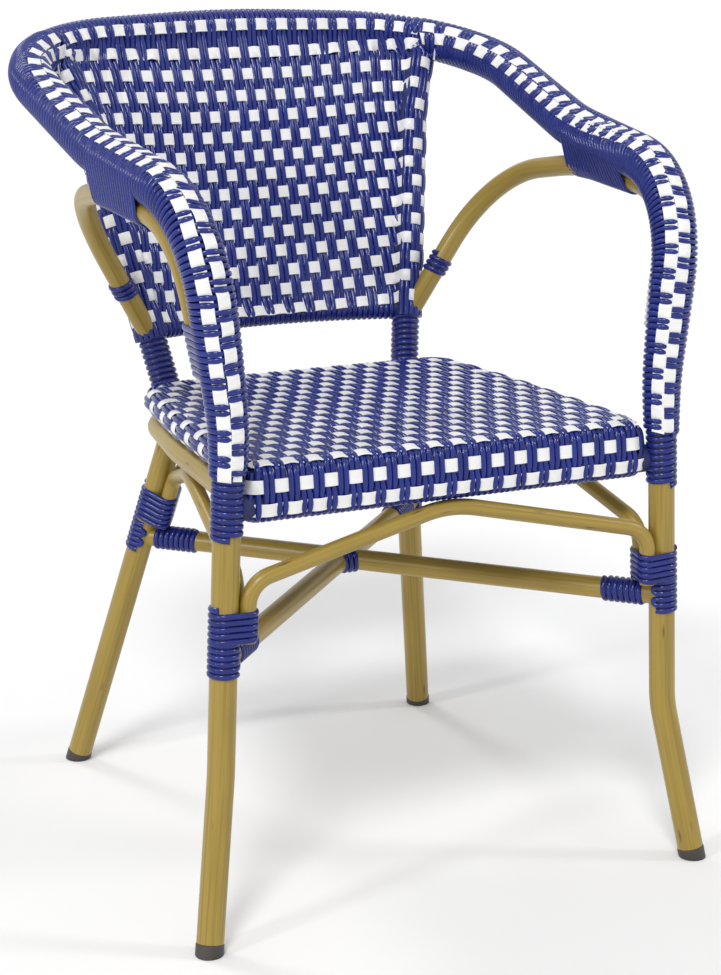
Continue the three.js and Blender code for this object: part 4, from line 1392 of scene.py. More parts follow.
    def _lay_tapes(self) -> None:
        """Lays the white rows across the panel and on round both stiles."""
        surface, profile = self.surface, self.sizes.tape.tape()
        for number, height in enumerate(self.rows, start=1):
            on_roll = number == 1
            half = float(surface.flat_half(np.array(height))) + self.stile_pairs * self.pitch
            half = self.roll_half - self.roll_tape_short if on_roll else half
            u = steps_between(-half, half, self.sizes.weft_step)
            flat = surface.flat_half(np.full_like(u, height))
            v = height + self._edge_rise(np.full_like(u, height), np.minimum(np.abs(u), flat))
            pair = (u - self.shift) / self.pitch - 0.5
            over = np.abs(u) - surface.flat_half(v)
            if not on_roll:
                pair = np.where(over > 0, over / self.pitch + 0.5, pair)
            levels = self.tape_levels(number, pair)
            if number == self.crease_row:
                levels = levels + self.crease_lift * (1 + levels / self.sizes.tape_swing) / 2
            surface.lay(self.tapes, u, v, levels, profile, float(number), ease=1)


@dataclass
class SeatSurface(WovenSurface):
    """The seat's middle surface: apron, front roll, flat top and rear roll.

    u is x, and v is the length along: 0 where the flat top starts behind the front roll, more to
    the rear, and less over the front roll, down the apron and round under the front rail.
    """

    runs: ChairRuns
    ring_roll: float = 12.0
    rail_roll: float = 15.5
    corner: float = 198.5
    corner_bend: float = 4.0
    corner_spread: float = 13.0
    most_turn: float = radians(115)

    def __post_init__(self) -> None:
        """Splits the ring's right half at its widest point."""
        ring = self.runs.ring
        right = ring.lengths >= ring.length / 2
        half = ring.points[right]
        widest = int(np.argmax(half[:, 0]))
        self.rear_part = half[widest:]
        self.rear_lengths = ring.lengths[right][widest:]
        self.top = self.runs.ring_height + self.ring_roll

    def front_edge(self, across: Array) -> Array:
        """The y at which the flat top starts, at a distance from the middle."""
        turn = np.clip((across - self.corner) / self.corner_spread, 0, pi / 2)
        return self.runs.seat_front + self.corner_bend * (1 - np.cos(turn))

    def rear_edge(self, across: Array) -> Array:
        """The ring's y at the rear, at a distance from the middle."""
        return np.interp(across, self.rear_part[::-1, 0], self.rear_part[::-1, 1])

    def straight_half(self, slack: float) -> float:
        """Half the width over which the ring's rear edge is straight, but for a slack."""
        level = self.rear_part[:, 1] > self.rear_part[-1, 1] - slack
        return float(self.rear_part[level, 0].max())

    def raw(self, u: Array, v: Array) -> Array:
        """Joins the rail's roll, the taut face, the front roll, the flat top and the rear roll.

        The taut line leaves one circle for the other at the angle where both reach equally far,
        90 degrees - acos((r_rail - r_ring) / distance). Past the corner the apron's outline turns
        back about the corner, by (|u| - corner) / spread, as the end of a roll does.

        Args:
            u: Places across.
            v: Places along.

        Returns:
            The points, n x 3.
        """
        u, v = np.broadcast_arrays(np.asarray(u, float), np.asarray(v, float))
        across = np.abs(u)
        turn = np.clip((across - self.corner) / self.corner_spread, 0, self.most_turn)
        x = np.minimum(across, self.corner) + self.corner_bend * np.sin(turn)
        front = self.front_edge(across)
        rear = self.rear_edge(x)
        lift = self.runs.ring_height - self.runs.rail_height
        leave = pi / 2 - np.arccos((self.rail_roll - self.ring_roll) / lift)
        arc = (pi / 2 - leave) * self.ring_roll
        face = sqrt(lift**2 - (self.rail_roll - self.ring_roll) ** 2)
        down = np.maximum(-v, 0)
        on_ring = pi / 2 - np.minimum(down, arc) / self.ring_roll
        on_rail = leave - np.maximum(down - arc - face, 0) / self.rail_roll
        share = np.clip((down - arc) / face, 0, 1)
        ring_reach = self.ring_roll * np.cos(on_ring)
        rail_reach = self.rail_roll * np.cos(on_rail)
        reach = ring_reach + (rail_reach - ring_reach) * share
        ring_z = self.runs.ring_height + self.ring_roll * np.sin(on_ring)
        rail_z = self.runs.rail_height + self.rail_roll * np.sin(on_rail)
        z = ring_z + (rail_z - ring_z) * share
        past = np.maximum(front + v - rear, 0) / self.ring_roll
        flat_y = np.minimum(front + np.maximum(v, 0), rear) + self.ring_roll * np.sin(past)
        flat_z = self.runs.ring_height + self.ring_roll * np.cos(past)
        y = np.where(v > 0, flat_y, front - reach * np.cos(turn))
        z = np.where(v > 0, flat_z, z)
        x = np.where(v > 0, x, x + reach * np.sin(turn))
        return np.stack([np.where(u < 0, -x, x), y, z], -1)


@dataclass
class RingRoll(WovenSurface):
    """The roll round the seat ring's side: u is the length out from its top, v runs along it."""

    seat: SeatSurface
    side: Side
    taps = (0.0,)

    def __post_init__(self) -> None:
        """Takes the ring from the seat's surface."""
        self.ring = self.seat.runs.ring

    def raw(self, u: Array, v: Array) -> Array:
        """Ring axis + r (outward sin(u / r) + up cos(u / r)), mirrored on the left.

        Args:
            u: Places across.
            v: Places along.

        Returns:
            The points, n x 3.
        """
        u, v = np.broadcast_arrays(np.asarray(u, float) * self.side.value, np.asarray(v, float))
        tangent = self.ring.frame(v)[0]
        outward = unit(np.cross(tangent, UP))
        spoke = spread(UP, outward, circle(u / self.seat.ring_roll))
        return self.side.turn(self.ring.at(v) + self.seat.ring_roll * spoke)


@dataclass
class SeatWeave(WovenPanel):
    """The seat: blue pairs from front to rear, checkered with white rows that wrap its sides."""

    pitch: float = 12.55
    shift: float = -4.3
    drift: float = -0.039
    end_pair: int = 18
    front_run: float = 44.3
    front_wrap: float = radians(212.4)
    rear_run: float = 380.0
    rear_run_wrap: float = radians(125)
    rear_wrap: float = radians(215)
    rows: tuple[float, ...] = (
        -48.6, -26.4, -1.0, 24.2, 47.2, 70.4, 93.5, 116.6, 139.4, 162.4, 185.3, 208.0, 231.0,
        253.8, 276.8, 301.0, 325.6, 347.5, 371.5,
    )
    first_fade: Span = (-0.7, -0.25)
    last_fade: Span = (18.25, 18.7)
    curved_from: int = 3
    row_bow: float = -0.0002
    row_slope: float = -0.012
    straight_slack: float = 3.0
    edge_slack: float = 2.0
    corner_past: float = 4.0
    corner_turn: float = radians(100)
    end_drop: float = 8.0
    apron_turn: float = radians(80)
    least_points: int = 4
    side_pairs: int = 4
    side_pitch: float = 12.3
    side_lead: float = 24.0
    side_slack: float = 1.0
    side_wrap: float = radians(225)
    edge_guess: float = 190.0
    edge_tries: int = 4
    tint_step: float = 0.37
    side_tint_step: float = 0.4
    # Sizes of the dark tubes of painted shade round the front rail's ends.
    rail_lining: float = 40.0
    rail_lining_rise: float = 0.4

    def __post_init__(self) -> None:
        """Works out the surface that the seat is woven on."""
        self.surface = SeatSurface(self.runs)

    def lay(self) -> None:
        """Lays the warps, the tapes and dark tubes of painted shade round the ends of the front
        rail.
        """
        self._lay_pairs()
        self._lay_side_pairs()
        self._lay_tapes()
        rail, radius = self.runs.front_rail, self.runs.tubes.frame + self.rail_lining_rise
        for start in (0.0, rail.length - self.rail_lining):
            lay_tube(self.lining, rail, radius, start, start + self.rail_lining)

    def _bow(self, u: Array) -> Array:
        """How much a row lies behind its place in the middle at u."""
        return self.row_bow * u**2 + self.row_slope * u

    def _levels(self, u: Array, v: Array, pair: int) -> Array:
        """A warp's heights."""
        fade = smooth_step(v, *self.rows[self.curved_from - 1 : self.curved_from + 1])
        places, pitch = v - fade * self._bow(u), self.sizes.outer_pitch
        numbers = read_off(places, self.rows, range(len(self.rows)), pitch)
        return self.warp_levels(numbers, pair, self.first_fade, self.last_fade)

    def _lay_pairs(self) -> None:
        """Lays the pairs from behind the front rail, over the seat, and round the ring's rear."""
        surface, profile = self.surface, self.sizes.strand.half_round()
        start = -self.front_run - self.front_wrap * surface.rail_roll
        end = self.rear_run + self.rear_run_wrap * surface.ring_roll
        along = steps_between(start, end, self.sizes.warp_step)
        drift = self.drift * np.maximum(along, 0)
        rear_half = surface.straight_half(self.straight_slack)
        widest = surface.corner + self.corner_turn * surface.corner_spread
        for pair, step in product(range(-self.end_pair, self.end_pair + 1), PAIR):
            u = self.shift + self.pitch * pair + drift + step * self.sizes.pair_half
            across = np.abs(u)
            depth = surface.rear_edge(across) - surface.front_edge(across)
            round_rear = depth + self.rear_wrap * surface.ring_roll
            reach = np.where(across < rear_half, round_rear, depth - self.edge_slack)
            inside = across < surface.corner + self.corner_past
            reach = np.where(inside, reach, -self.end_drop)
            keep = np.cumprod((along < reach) & (across < widest)).astype(bool)
            u, v = u[keep], along[keep]
            if len(v) >= self.least_points:
                tint, levels = pair + self.tint_step * step, self._levels(u, v, pair)
                surface.lay(self.strands, u, v, levels, profile, tint)

    def _lay_side_pairs(self) -> None:
        """Lays the pairs that run along both sides of the ring."""
        surface, profile = self.surface, self.sizes.strand.half_round()
        half_widths, depths, _ = surface.rear_part.T
        start = surface.rear_lengths[0] - self.side_lead
        end = float(surface.rear_lengths[np.argmax(depths > depths[-1] - self.side_slack)])
        v = steps_between(start, end, self.sizes.warp_step)
        y = self.runs.ring.at(v)[:, 1]
        edge = np.interp(y, depths, half_widths)
        for side in Side:
            roll = RingRoll(surface, side)
            for pair, step in product(range(self.side_pairs), PAIR):
                out = (pair + 0.5) * self.side_pitch + step * self.sizes.pair_half
                levels = self._levels(edge * side.value, y - self.runs.seat_front, pair + 1)
                u, tint = np.full_like(v, out) * side.value, pair + self.side_tint_step * step
                roll.lay(self.strands, u, v, levels, profile, tint)

    def _lay_tapes(self) -> None:
        """Lays the white rows: along the apron, over the top and round both sides, or behind."""
        surface, profile = self.surface, self.sizes.tape.tape()
        apron = surface.corner + self.apron_turn * surface.corner_spread
        rear = surface.straight_half(self.straight_slack)
        past = self.rows[-1] + self.runs.seat_front - surface.rear_edge(np.array(0.0))
        for number, place in enumerate(self.rows):
            on_apron = number < self.curved_from
            if not on_apron and number < len(self.rows) - 1:
                self._lay_wrapped_tape(number, place)
                continue
            half = apron if on_apron else rear
            u = steps_between(-half, half, self.sizes.weft_step)
            behind = surface.rear_edge(np.abs(u)) + past - surface.front_edge(np.abs(u))
            v = np.full_like(u, place) if on_apron else behind
            pair = (u - self.shift - self.drift * np.maximum(v, 0)) / self.pitch
            levels = self.tape_levels(number, pair)
            surface.lay(self.tapes, u, v, levels, profile, float(number))

    def _edge_of_row(self, middle: float, side: Side) -> float:
        """Finds how far out a bowed row meets the ring, by going to and fro between the two.

        Args:
            middle: The row's y in the middle.
            side: The side looked at.

        Returns:
            The distance from the middle.
        """
        half, rear = self.edge_guess, self.surface.rear_part
        for _ in range(self.edge_tries):
            y = middle + float(self._bow(np.array(half * side.value)))
            half = float(np.interp(y, rear[:, 1], rear[:, 0]))
        return half

    def _lay_wrapped_tape(self, number: int, place: float) -> None:
        """Lays one tape over the top and round the ring on both sides, as one path."""
        surface = self.surface
        step, middle = self.sizes.weft_step, place + self.runs.seat_front
        right, left = (self._edge_of_row(middle, side) for side in Side)
        u = steps_between(-left, right, step)
        y = middle + self._bow(u)
        flat = np.stack([u, y, np.full_like(u, surface.top)], -1)
        pair = (u - self.shift - self.drift * (y - self.runs.seat_front)) / self.pitch
        parts = [(flat, np.broadcast_to(UP, flat.shape), pair)]
        over = steps_between(step, self.side_wrap * surface.ring_roll, step)
        pairs = over / self.side_pitch + 0.5
        for side in Side:
            roll = RingRoll(surface, side)
            y_edge = y[-1] if side is Side.RIGHT else y[0]
            at = np.interp(y_edge, surface.rear_part[:, 1], surface.rear_lengths)
            at = np.full_like(over, at)
            points = roll.raw(over * side.value, at)
            part = (points, unit(points - side.turn(roll.ring.at(at))), pairs)
            if side is Side.RIGHT:
                parts.append(part)
            else:
                parts.insert(0, tuple(values[::-1] for values in part))
        centres, outs, pair = (np.concatenate(values) for values in zip(*parts))
        outs = unit(relaxed(outs, 1))
        levels = self.tape_levels(number, pair)
        centres = centres + outs * levels[:, None]
        lay_strand(self.tapes, centres, outs, self.sizes.tape.tape(), float(number))


# ------------------------------
# Arm sleeves


@dataclass(frozen=True)
class TapeMarks:
    """Middles of a white column's squares along the hoop, with the column's angle along it.

    Lengths are measured from the foot, and angles in degrees from the carried normal, outwards.
    """

    lengths: tuple[float, ...]
    angle_lengths: tuple[float, ...]
    angles: tuple[float, ...]

    def angle_at(self, lengths: Array) -> Array:
        """The column's angle at lengths, in radians."""
        return np.radians(np.interp(lengths, self.angle_lengths, self.angles))


RIGHT_INNER = TapeMarks(
    lengths=(
        478, 503, 527, 551, 576, 601, 624, 644, 665, 687, 709, 730, 751, 774, 798, 821, 845, 871,
        901, 930, 956, 982, 1009, 1035, 1066, 1107, 1142, 1174, 1203,
    ),
    angle_lengths=(
        478, 601, 644, 709, 730, 774, 845, 901, 1035, 1066, 1107, 1142, 1174, 1203,
    ),
    angles=(-50, -50, -46, -46, -50, -54, -68, -66, -66, -72, -74, -74, -78, -92),
)
RIGHT_OUTER = TapeMarks(
    lengths=(
        489, 514, 538, 563, 588, 612, 633, 653, 674, 694, 715, 734, 755, 776, 797, 819, 840, 869,
        900, 930, 959, 986, 1013, 1040, 1082, 1123, 1162, 1195, 1223,
    ),
    angle_lengths=(
        538, 612, 633, 694, 734, 840, 869, 900, 930, 959, 1013, 1040, 1082, 1162, 1195, 1223,
    ),
    angles=(-17, -17, -13, -13, -17, -46, -42, -38, -34, -32, -30, -34, -42, -46, -50, -58),
)
LEFT_OUTER = TapeMarks(
    lengths=(
        463.6, 487.9, 512.6, 537.3, 562, 586.6, 611.6, 635.6, 657.6, 681, 704.6, 726.6, 749.6, 773,
        797, 821, 845, 870, 895, 920.6, 948.6, 976.6, 1003.6, 1032, 1061, 1091, 1124, 1159, 1193,
        1223,
    ),
    angle_lengths=(463, 657, 704, 749, 920, 1003, 1061, 1107, 1153, 1197, 1223),
    angles=(27, 27, 13, 12, 15, 14, -2, -20, -40, -48, -58),
)
LEFT_INNER = TapeMarks(
    lengths=(
        474.6, 499.6, 524, 549, 573.6, 598.6, 621.6, 645.6, 668, 690.6, 710.6, 730.6, 753, 777, 801,
        825, 850, 875, 900, 926, 953, 980, 1006.6, 1034, 1062.6, 1092, 1124, 1158, 1190, 1224,
    ),
    angle_lengths=(474, 645, 690, 1006, 1062, 1120, 1188, 1224),
    angles=(-12, -17, -20, -18, -36, -62, -90, -96),
)


@dataclass
class ArmSleeve(WovenCover):
    """One arm's cover: a blue strand wound round the hoop, with two white tapes woven lengthwise.

    Turn k of the strand passes the first column at the place where that column's numbering of turns
    says k, and likewise at the second. A white square shows between the turns that pass under it:
    two turns under and two over, or three and three where squares are longer than `long_square`.
    """

    side: Side
    squares: tuple[TapeMarks, TapeMarks]
    long_square: float = 29.5
    start_height: float = 451.0
    end_half_span: float = 226.0
    post_height: float = 592.0
    arm_y: float = 7.0
    shoulder_y: float = 191.0
    radii: tuple[float, ...] = (18.3, 23.0, 24.4, 23.4, 22.4)
    depth: float = 2.1
    turn_points: int = 36
    outline_points: int = 181
    arch_roll: float = 12.2
    arm_low: float = 690.0
    wrap_rear: float = -16.0
    wrap_front: float = -130.0
    post_wrap_low: float = 546.0
    post_wrap_high: float = 594.0
    post_points: int = 60
    change_range: Span = (0.15, 0.85)
    least_slope_share: float = 0.3
    closeness: float = 0.985
    width_range: Span = (0.6, 1.6)
    slope_reach: int = 2
    width_reach: int = 8
    tape_reach: float = 0.6
    tape_sharpness: int = 8
    tape_start: float = 1.5
    tape_ends: Span = (0.0, 10.0)
    tape_step: float = 1.3
    tape_angle_reach: int = 10
    skew_share: float = 0.9
    most_skew: float = 0.4
    # Sizes of the dark tube of painted shade under the strand.
    lining_depth: float = 3.4
    lining_start: float = 2.0
    lining_step: float = 6.0
    lining_sides: int = 20

    def __post_init__(self) -> None:
        """Finds the sleeve's ends, its radii, and the turn numbers of both columns' squares."""
        hoop = self.runs.hoop
        self.start = hoop.where(2, self.start_height)
        self.end = hoop.where(0, self.end_half_span)
        self.radius_lengths = (
            self.start, hoop.where(2, self.post_height), hoop.where(1, self.arm_y),
            hoop.where(1, self.shoulder_y), hoop.length / 2,
        )
        long = (np.diff(self.squares[0].lengths) > self.long_square).astype(float)
        under = 2.0 + np.concatenate([long[:1], long[1:] * long[:-1], long[-1:]])
        over = 2.0 + long
        steps = under[:-1] / 2 + over + under[1:] / 2
        first = 0.5 + np.concatenate([[0.0], np.cumsum(steps)])
        second = first[:-1] + under[:-1] / 2 + over / 2
        second = np.append(second, second[-1] + steps[-1])
        self.turns = (first, second[: len(self.squares[1].lengths)])

    def radius_at(self, lengths: Array) -> Array:
        """The cover's outer radius at lengths along the hoop."""
        return np.interp(lengths, self.radius_lengths, self.radii)

    def _shows(self, turn: Array, column: int) -> Array:
        """+1 where a turn passes under the column's tape, so that white shows, else -1."""
        numbers = self.turns[0]
        count = read_off(turn, numbers, 2.0 * np.arange(len(numbers)))
        return np.where(np.cos(pi * count) > 0, 1.0, -1.0) * (1.0 if column == 0 else -1.0)

    def _tape_height(self, lengths: Array, column: int) -> Array:
        """Finds on which side of the turns a tape lies: it changes sides between two turns."""
        turn = read_off(lengths, self.squares[column].lengths, self.turns[column])
        low = np.floor(turn)
        before, after = self._shows(low, column), self._shows(low + 1, column)
        return before + (after - before) * smooth_step(turn - low, *self.change_range)

    def _turn_table(self) -> tuple[Array, Array, Array]:
        """Where turns cross the top line, how much they slant, and their numbers.

        With t the places where turn k passes the two columns at angles a and b, and p the pitch:
        slant = (t_b - t_a) - p (b - a) / full turn, top = (t_a + t_b) / 2 - p (a + b) / two turns.

        Returns:
            The turns' lengths at the top line, their slants and their numbers.
        """
        first, second = self.squares
        low = ceil(float(read_off(np.array(self.start), first.lengths, self.turns[0])))
        high = int(read_off(np.array(self.end), first.lengths, self.turns[0])) + 1
        turn = np.arange(low, high + 1, dtype=float)
        one = read_off(turn, self.turns[0], first.lengths)
        other = read_off(turn, self.turns[1], second.lengths)
        pitch = relaxed(np.gradient((one + other) / 2), 1)
        a, b = first.angle_at(one), second.angle_at(other)
        slant = other - one - pitch * (b - a) / FULL_TURN
        top = (one + other) / 2 - pitch * (a + b) / (2 * FULL_TURN)
        return top, slant, turn

    def _second_disc(self, lengths: Array) -> tuple[Array, Array]:
        """Where the arch lies in the hoop's cross-section, and whether turns go round it too.

        Args:
            lengths: Lengths along the hoop.

        Returns:
            The arch's place as (along normal, along binormal), and the truth of the wrap.
        """
        hoop, arch = self.runs.hoop, self.runs.arch
        point = hoop.at(lengths)
        _, normal, binormal = hoop.frame(lengths)
        rear, front, low, high = (
            self.wrap_rear, self.wrap_front, self.post_wrap_low, self.post_wrap_high,
        )
        _, y, z = point.T
        on_arm = (y < rear) & (y > front) & (z > self.arm_low)
        on_post = (z > low) & (z < high)
        by_depth = arch.points[np.argsort(arch.points[:, 1])]
        by_height = arch.points[-self.post_points :][::-1]
        by_y = mixed(y, by_depth[:, 1], by_depth)
        by_z = mixed(z, by_height[:, 2], by_height)
        other = np.where(on_post[:, None], by_z, by_y) - point
        place = np.stack([dot(other, normal)[:, 0], dot(other, binormal)[:, 0]], -1)
        return place, on_arm | on_post

    def _turn_outline(self, start: float) -> tuple[Array, Array]:
        """One turn's taut outline in the cross-section, from the top round the outside.

        The line round two discs is, for each outward angle, the rim spot of the disc that reaches
        farthest that way.

        Args:
            start: The length at which the turn starts.

        Returns:
            The spots as (normal, binormal) pairs, and their outward angles, evenly spaced.
        """
        at = np.array([start])
        radius = float(self.radius_at(at)[0]) - self.depth
        place, wraps = self._second_disc(at)
        angles = np.linspace(0, FULL_TURN, self.outline_points)
        ways = circle(angles)
        spots = ways * radius
        if wraps[0]:
            farther = ways @ place[0] + self.arch_roll > radius
            spots = np.where(farther[:, None], place[0] + ways * self.arch_roll, spots)
        spots, angle = even(spots, FULL_TURN * radius / self.turn_points, angles[:, None])
        return spots, angle[:, 0]

    @staticmethod
    def _sway(angles: Array, middles: Array, spreads: Array) -> Array:
        """Shape of a turn's slant: -1/2 at one column, 1/2 at the other, dying away behind.

        x w(x) / (spread w(spread / 2)), with x the angle from the middle of the columns and
        w(x) = cos^2(x / 2) / (1 + |x|^3).
        """
        x = (angles - middles + pi) % FULL_TURN - pi

        def weight(angle: Array) -> Array:
            """How much of the slant is left at an angle."""
            return np.cos(angle / 2) ** 2 / (1 + np.abs(angle) ** 3)

        return x * weight(x) / (spreads * weight(spreads / 2))

    def lay(self) -> None:
        """Lays the wound strand, the two tapes and the painted-shade core under them."""
        self._lay_strand()
        for column in range(len(self.squares)):
            self._lay_tape(column)
        self._lay_lining()

    def _lay_strand(self) -> None:
        """Winds the strand turn by turn, slanted between the columns, over and under the tapes."""
        tops, slants, turns = self._turn_table()
        parts = []
        for start, end, turn in zip(tops[:-1], tops[1:], turns[:-1]):
            outline, angle = self._turn_outline(float(start))
            share = angle / FULL_TURN
            pitches = np.full(len(angle), end - start)
            columns = (start + (end - start) * share, turn + share, angle, pitches, outline)
            parts.append(np.column_stack(columns)[:-1])
        table = np.concatenate(parts)
        (length, turn, angle, pitch), outline = table[:, :-2].T, table[:, -2:]
        one, other = (column.angle_at(length) for column in self.squares)
        sway = self._sway(angle, (one + other) / 2, other - one)
        moved = length + np.interp(turn, turns, slants) * sway
        level = self._levels(moved, turn, angle)[:, None]
        hoop = self.runs.hoop
        _, normal, binormal = hoop.frame(moved)
        outs = spread(normal, binormal, circle(angle))
        spots = spread(normal, binormal, outline)
        centres = hoop.at(moved) + spots + outs * level
        steps = np.linalg.norm(np.gradient(centres, axis=0), axis=1)
        slope = relaxed(np.gradient(moved - length) / steps, self.slope_reach)
        straight = np.sqrt(np.clip(1 - slope**2, self.least_slope_share, 1))
        width = relaxed(pitch * straight * self.closeness, self.width_reach)
        factors = np.clip(width / self.sizes.strand.width, *self.width_range)
        centres, outs = self.side.turn(centres), self.side.turn(outs)
        lay_strand(self.strands, centres, outs, self.sizes.strand.half_round(), 0.0, factors)

    def _levels(self, lengths: Array, turns: Array, angles: Array) -> Array:
        """Heights of the strand: at rest, and over or under each tape within its width."""
        sizes = self.sizes
        level = np.full_like(lengths, sizes.strand_free)
        radius = self.radius_at(lengths) - self.depth
        for index, column in enumerate(self.squares):
            middle = column.angle_at(lengths)
            passing = np.round(turns - middle / FULL_TURN)
            away = np.abs((angles - middle + pi) % FULL_TURN - pi) * radius
            reach = sizes.tape.width * self.tape_reach
            near = 1 / (1 + (away / reach) ** self.tape_sharpness)
            woven = sizes.strand_mean - sizes.strand_swing * self._shows(passing, index)
            level = level * (1 - near) + woven * near
        return level

    def _lay_tape(self, column: int) -> None:
        """Lays one white tape along the hoop at its own angle, over and under the turns."""
        end = self.end + self.tape_ends[column]
        at = steps_between(self.start + self.tape_start, end, self.tape_step)
        hoop, marks = self.runs.hoop, self.squares[column]
        _, normal, binormal = hoop.frame(at)
        angle = relaxed(marks.angle_at(at), self.tape_angle_reach)
        outs = spread(normal, binormal, circle(angle))
        level = self.sizes.tape_swing * self._tape_height(at, column)
        radius = self.radius_at(at) - self.depth + level
        centres = hoop.at(at) + outs * radius[:, None]
        _, slants, turns = self._turn_table()
        one, other = (each.angle_at(at) for each in self.squares)
        slant = np.interp(read_off(at, marks.lengths, self.turns[column]), turns, slants)
        skew = -self.skew_share * self.side.value * slant / ((other - one) * radius)
        skew = np.clip(relaxed(skew, self.width_reach), -self.most_skew, self.most_skew)
        centres, outs = self.side.turn(centres), self.side.turn(outs)
        profile = self.sizes.tape.tape()
        lay_strand(self.tapes, centres, outs, profile, float(column), skews=skew)

    def _lay_lining(self) -> None:
        """Lays a dark tube of painted shade close under the strand: circles whose radius follows
        the cover's.
        """
        at = steps_between(self.start + self.lining_start, self.end, self.lining_step)
        radii = self.radius_at(at) - self.depth - self.lining_depth
        rings, _ = circles(self.runs.hoop, at, radii, self.lining_sides)
        rings = self.side.turn(rings)[:, :: self.side.value]
        self.lining.add_rings(rings, rings)


# ------------------------------
# Bindings


@dataclass(frozen=True)
class Disc:
    """A round thing in a spine's cross-section, on the spine or at a distance some way from it."""

    radius: float
    way: Optional[Triple] = None
    distance: float = 0.0


@dataclass
class Bindings:
    """Lashings of half-round strand at the joints of the frame."""

    runs: ChairRuns
    shop: Workshop
    strand: Strand = Strand(6.0, 2.7)
    pitch: float = 6.15
    step: float = 2.2
    points_per_turn: int = 90
    joint_turns: float = 5.5
    rear_tail: float = 0.5
    joint_lift: float = 4.0
    joint_dip_reach: float = 3.0
    lashing_rows: int = 6
    lashing_overlap: float = 1.5
    lashing_gap: float = 1.5
    row_points: int = 60
    bend_points: int = 9
    collar_gap: float = 0.5
    front_collar_turns: float = 7.0
    rear_collar_turns: float = 8.0
    seat_height: float = 450.5
    seat_turns: float = 9.3
    stile_height: float = 449.5
    stile_turns: float = 9.0
    arch_place: float = 60.0
    arch_turns: float = 3.5
    crossing_turns: float = 2.5
    crossing_spread: float = 2.0

    def build(self) -> None:
        """Makes each lashing a piece, on both sides."""
        runs, tubes = self.runs, self.runs.tubes
        hoop, leg, bar = runs.hoop, runs.rear_leg, runs.stretcher
        front_way, rear_way = bar.tangents[0], -bar.tangents[0] * FLIP
        rear_bar = Path(bar.points[::-1] * FLIP, UP)
        collar = tubes.frame + self.strand.width / 2 + self.collar_gap
        seat = hoop.where(2, self.seat_height) - self.pitch * (self.seat_turns - 0.5)
        stile = leg.where(2, self.stile_height)
        front_ways, rear_ways = (FRONT_WAY, SIDE_FRONT_WAY), (REAR_WAY, SIDE_REAR_WAY)
        made = {
            "front_joint_binding": self._joint(hoop, front_ways, front_way, 0.0),
            "rear_joint_binding": self._joint(leg, rear_ways, rear_way, self.rear_tail),
            "front_stretcher_binding": self._stretcher(hoop, front_way),
            "rear_stretcher_binding": self._stretcher(leg, rear_way),
            "front_collar": self._turns(bar, collar, self.front_collar_turns, tubes.stretcher),
            "rear_collar": self._turns(rear_bar, collar, self.rear_collar_turns, tubes.stretcher),
            "seat_binding": self._turns(hoop, seat, self.seat_turns, tubes.frame),
            "stile_binding": self._turns(leg, stile, self.stile_turns, tubes.frame),
            "arch_collar": self._turns(runs.arch, self.arch_place, self.arch_turns, tubes.arch),
        }
        for (name, (centres, outs)), side in product(made.items(), Side):
            self._finish(f"{side.label}_{name}", side.turn(centres), side.turn(outs))
        self._finish("crossing_binding", *self._crossing())

    def _finish(self, node: str, centres: Array, outs: Array) -> None:
        """Makes one lashing the piece that stands for a node."""
        skin = Skin()
        lay_strand(skin, centres, outs, self.strand.half_round(), 0.0)
        self.shop.finish(skin, f"{node}_strand", self.shop.finishes.lashing, node)

    def _taut(self, spine: Path, angles: Array, along: Array, discs: Sequence[Disc]) -> Curve:
        """A line pulled taut round discs as it winds along a spine.

        For each outward angle the line touches the disc that reaches farthest that way, at
        centre + r (cos a, sin a) in the spine's cross-section.

        Args:
            spine: The tube that the discs stand round.
            angles: The outward angles.
            along: The lengths along the spine.
            discs: The tubes that are bound together.

        Returns:
            The line's points and outward directions, evenly spaced.
        """
        _, normal, binormal = spine.frame(along)
        ways = circle(angles)
        rims = []
        for disc in discs:
            centre = 0.0
            if disc.way is not None:
                way = np.asarray(disc.way)
                centre = unit(np.stack([normal @ way, binormal @ way], -1)) * disc.distance
            rims.append(centre + ways * disc.radius)
        rims = np.stack(rims)
        reach = np.einsum("dni,ni->dn", rims, ways)
        spots = rims[np.argmax(reach, axis=0), np.arange(len(ways))]
        points = spine.at(along) + spread(normal, binormal, spots)
        points, outs = even(points, self.step, spread(normal, binormal, ways))
        return relaxed(points, 1), unit(outs)

    def _helix(
        self, spine: Path, start: float, turns: float, first: float, discs: Sequence[Disc],
        sign: float = 1.0,
    ) -> Curve:
        """Winds turns whose angle grows evenly with the length.

        Args:
            spine: The tube that they go along.
            start: The length at which they start.
            turns: How many.
            first: The angle of their start.
            discs: The tubes that are bound together.
            sign: 1 along the spine, -1 back along it.

        Returns:
            The strand's path and its outward directions.
        """
        share = np.linspace(0, turns, int(turns * self.points_per_turn) + 1)
        along = start + sign * self.pitch * share
        return self._taut(spine, first + FULL_TURN * share, along, discs)

    def _turns(self, run: Path, start: float, turns: float, radius: float) -> Curve:
        """Plain turns round one tube, from a length on."""
        return self._helix(run, start, turns, 0.0, [Disc(radius)])

    @staticmethod
    def _angle(spine: Path, at: float, way: Array) -> float:
        """The angle of a direction in the cross-section at a length."""
        _, normal, binormal = spine.frame(at)
        return atan2(float(binormal @ way), float(normal @ way))

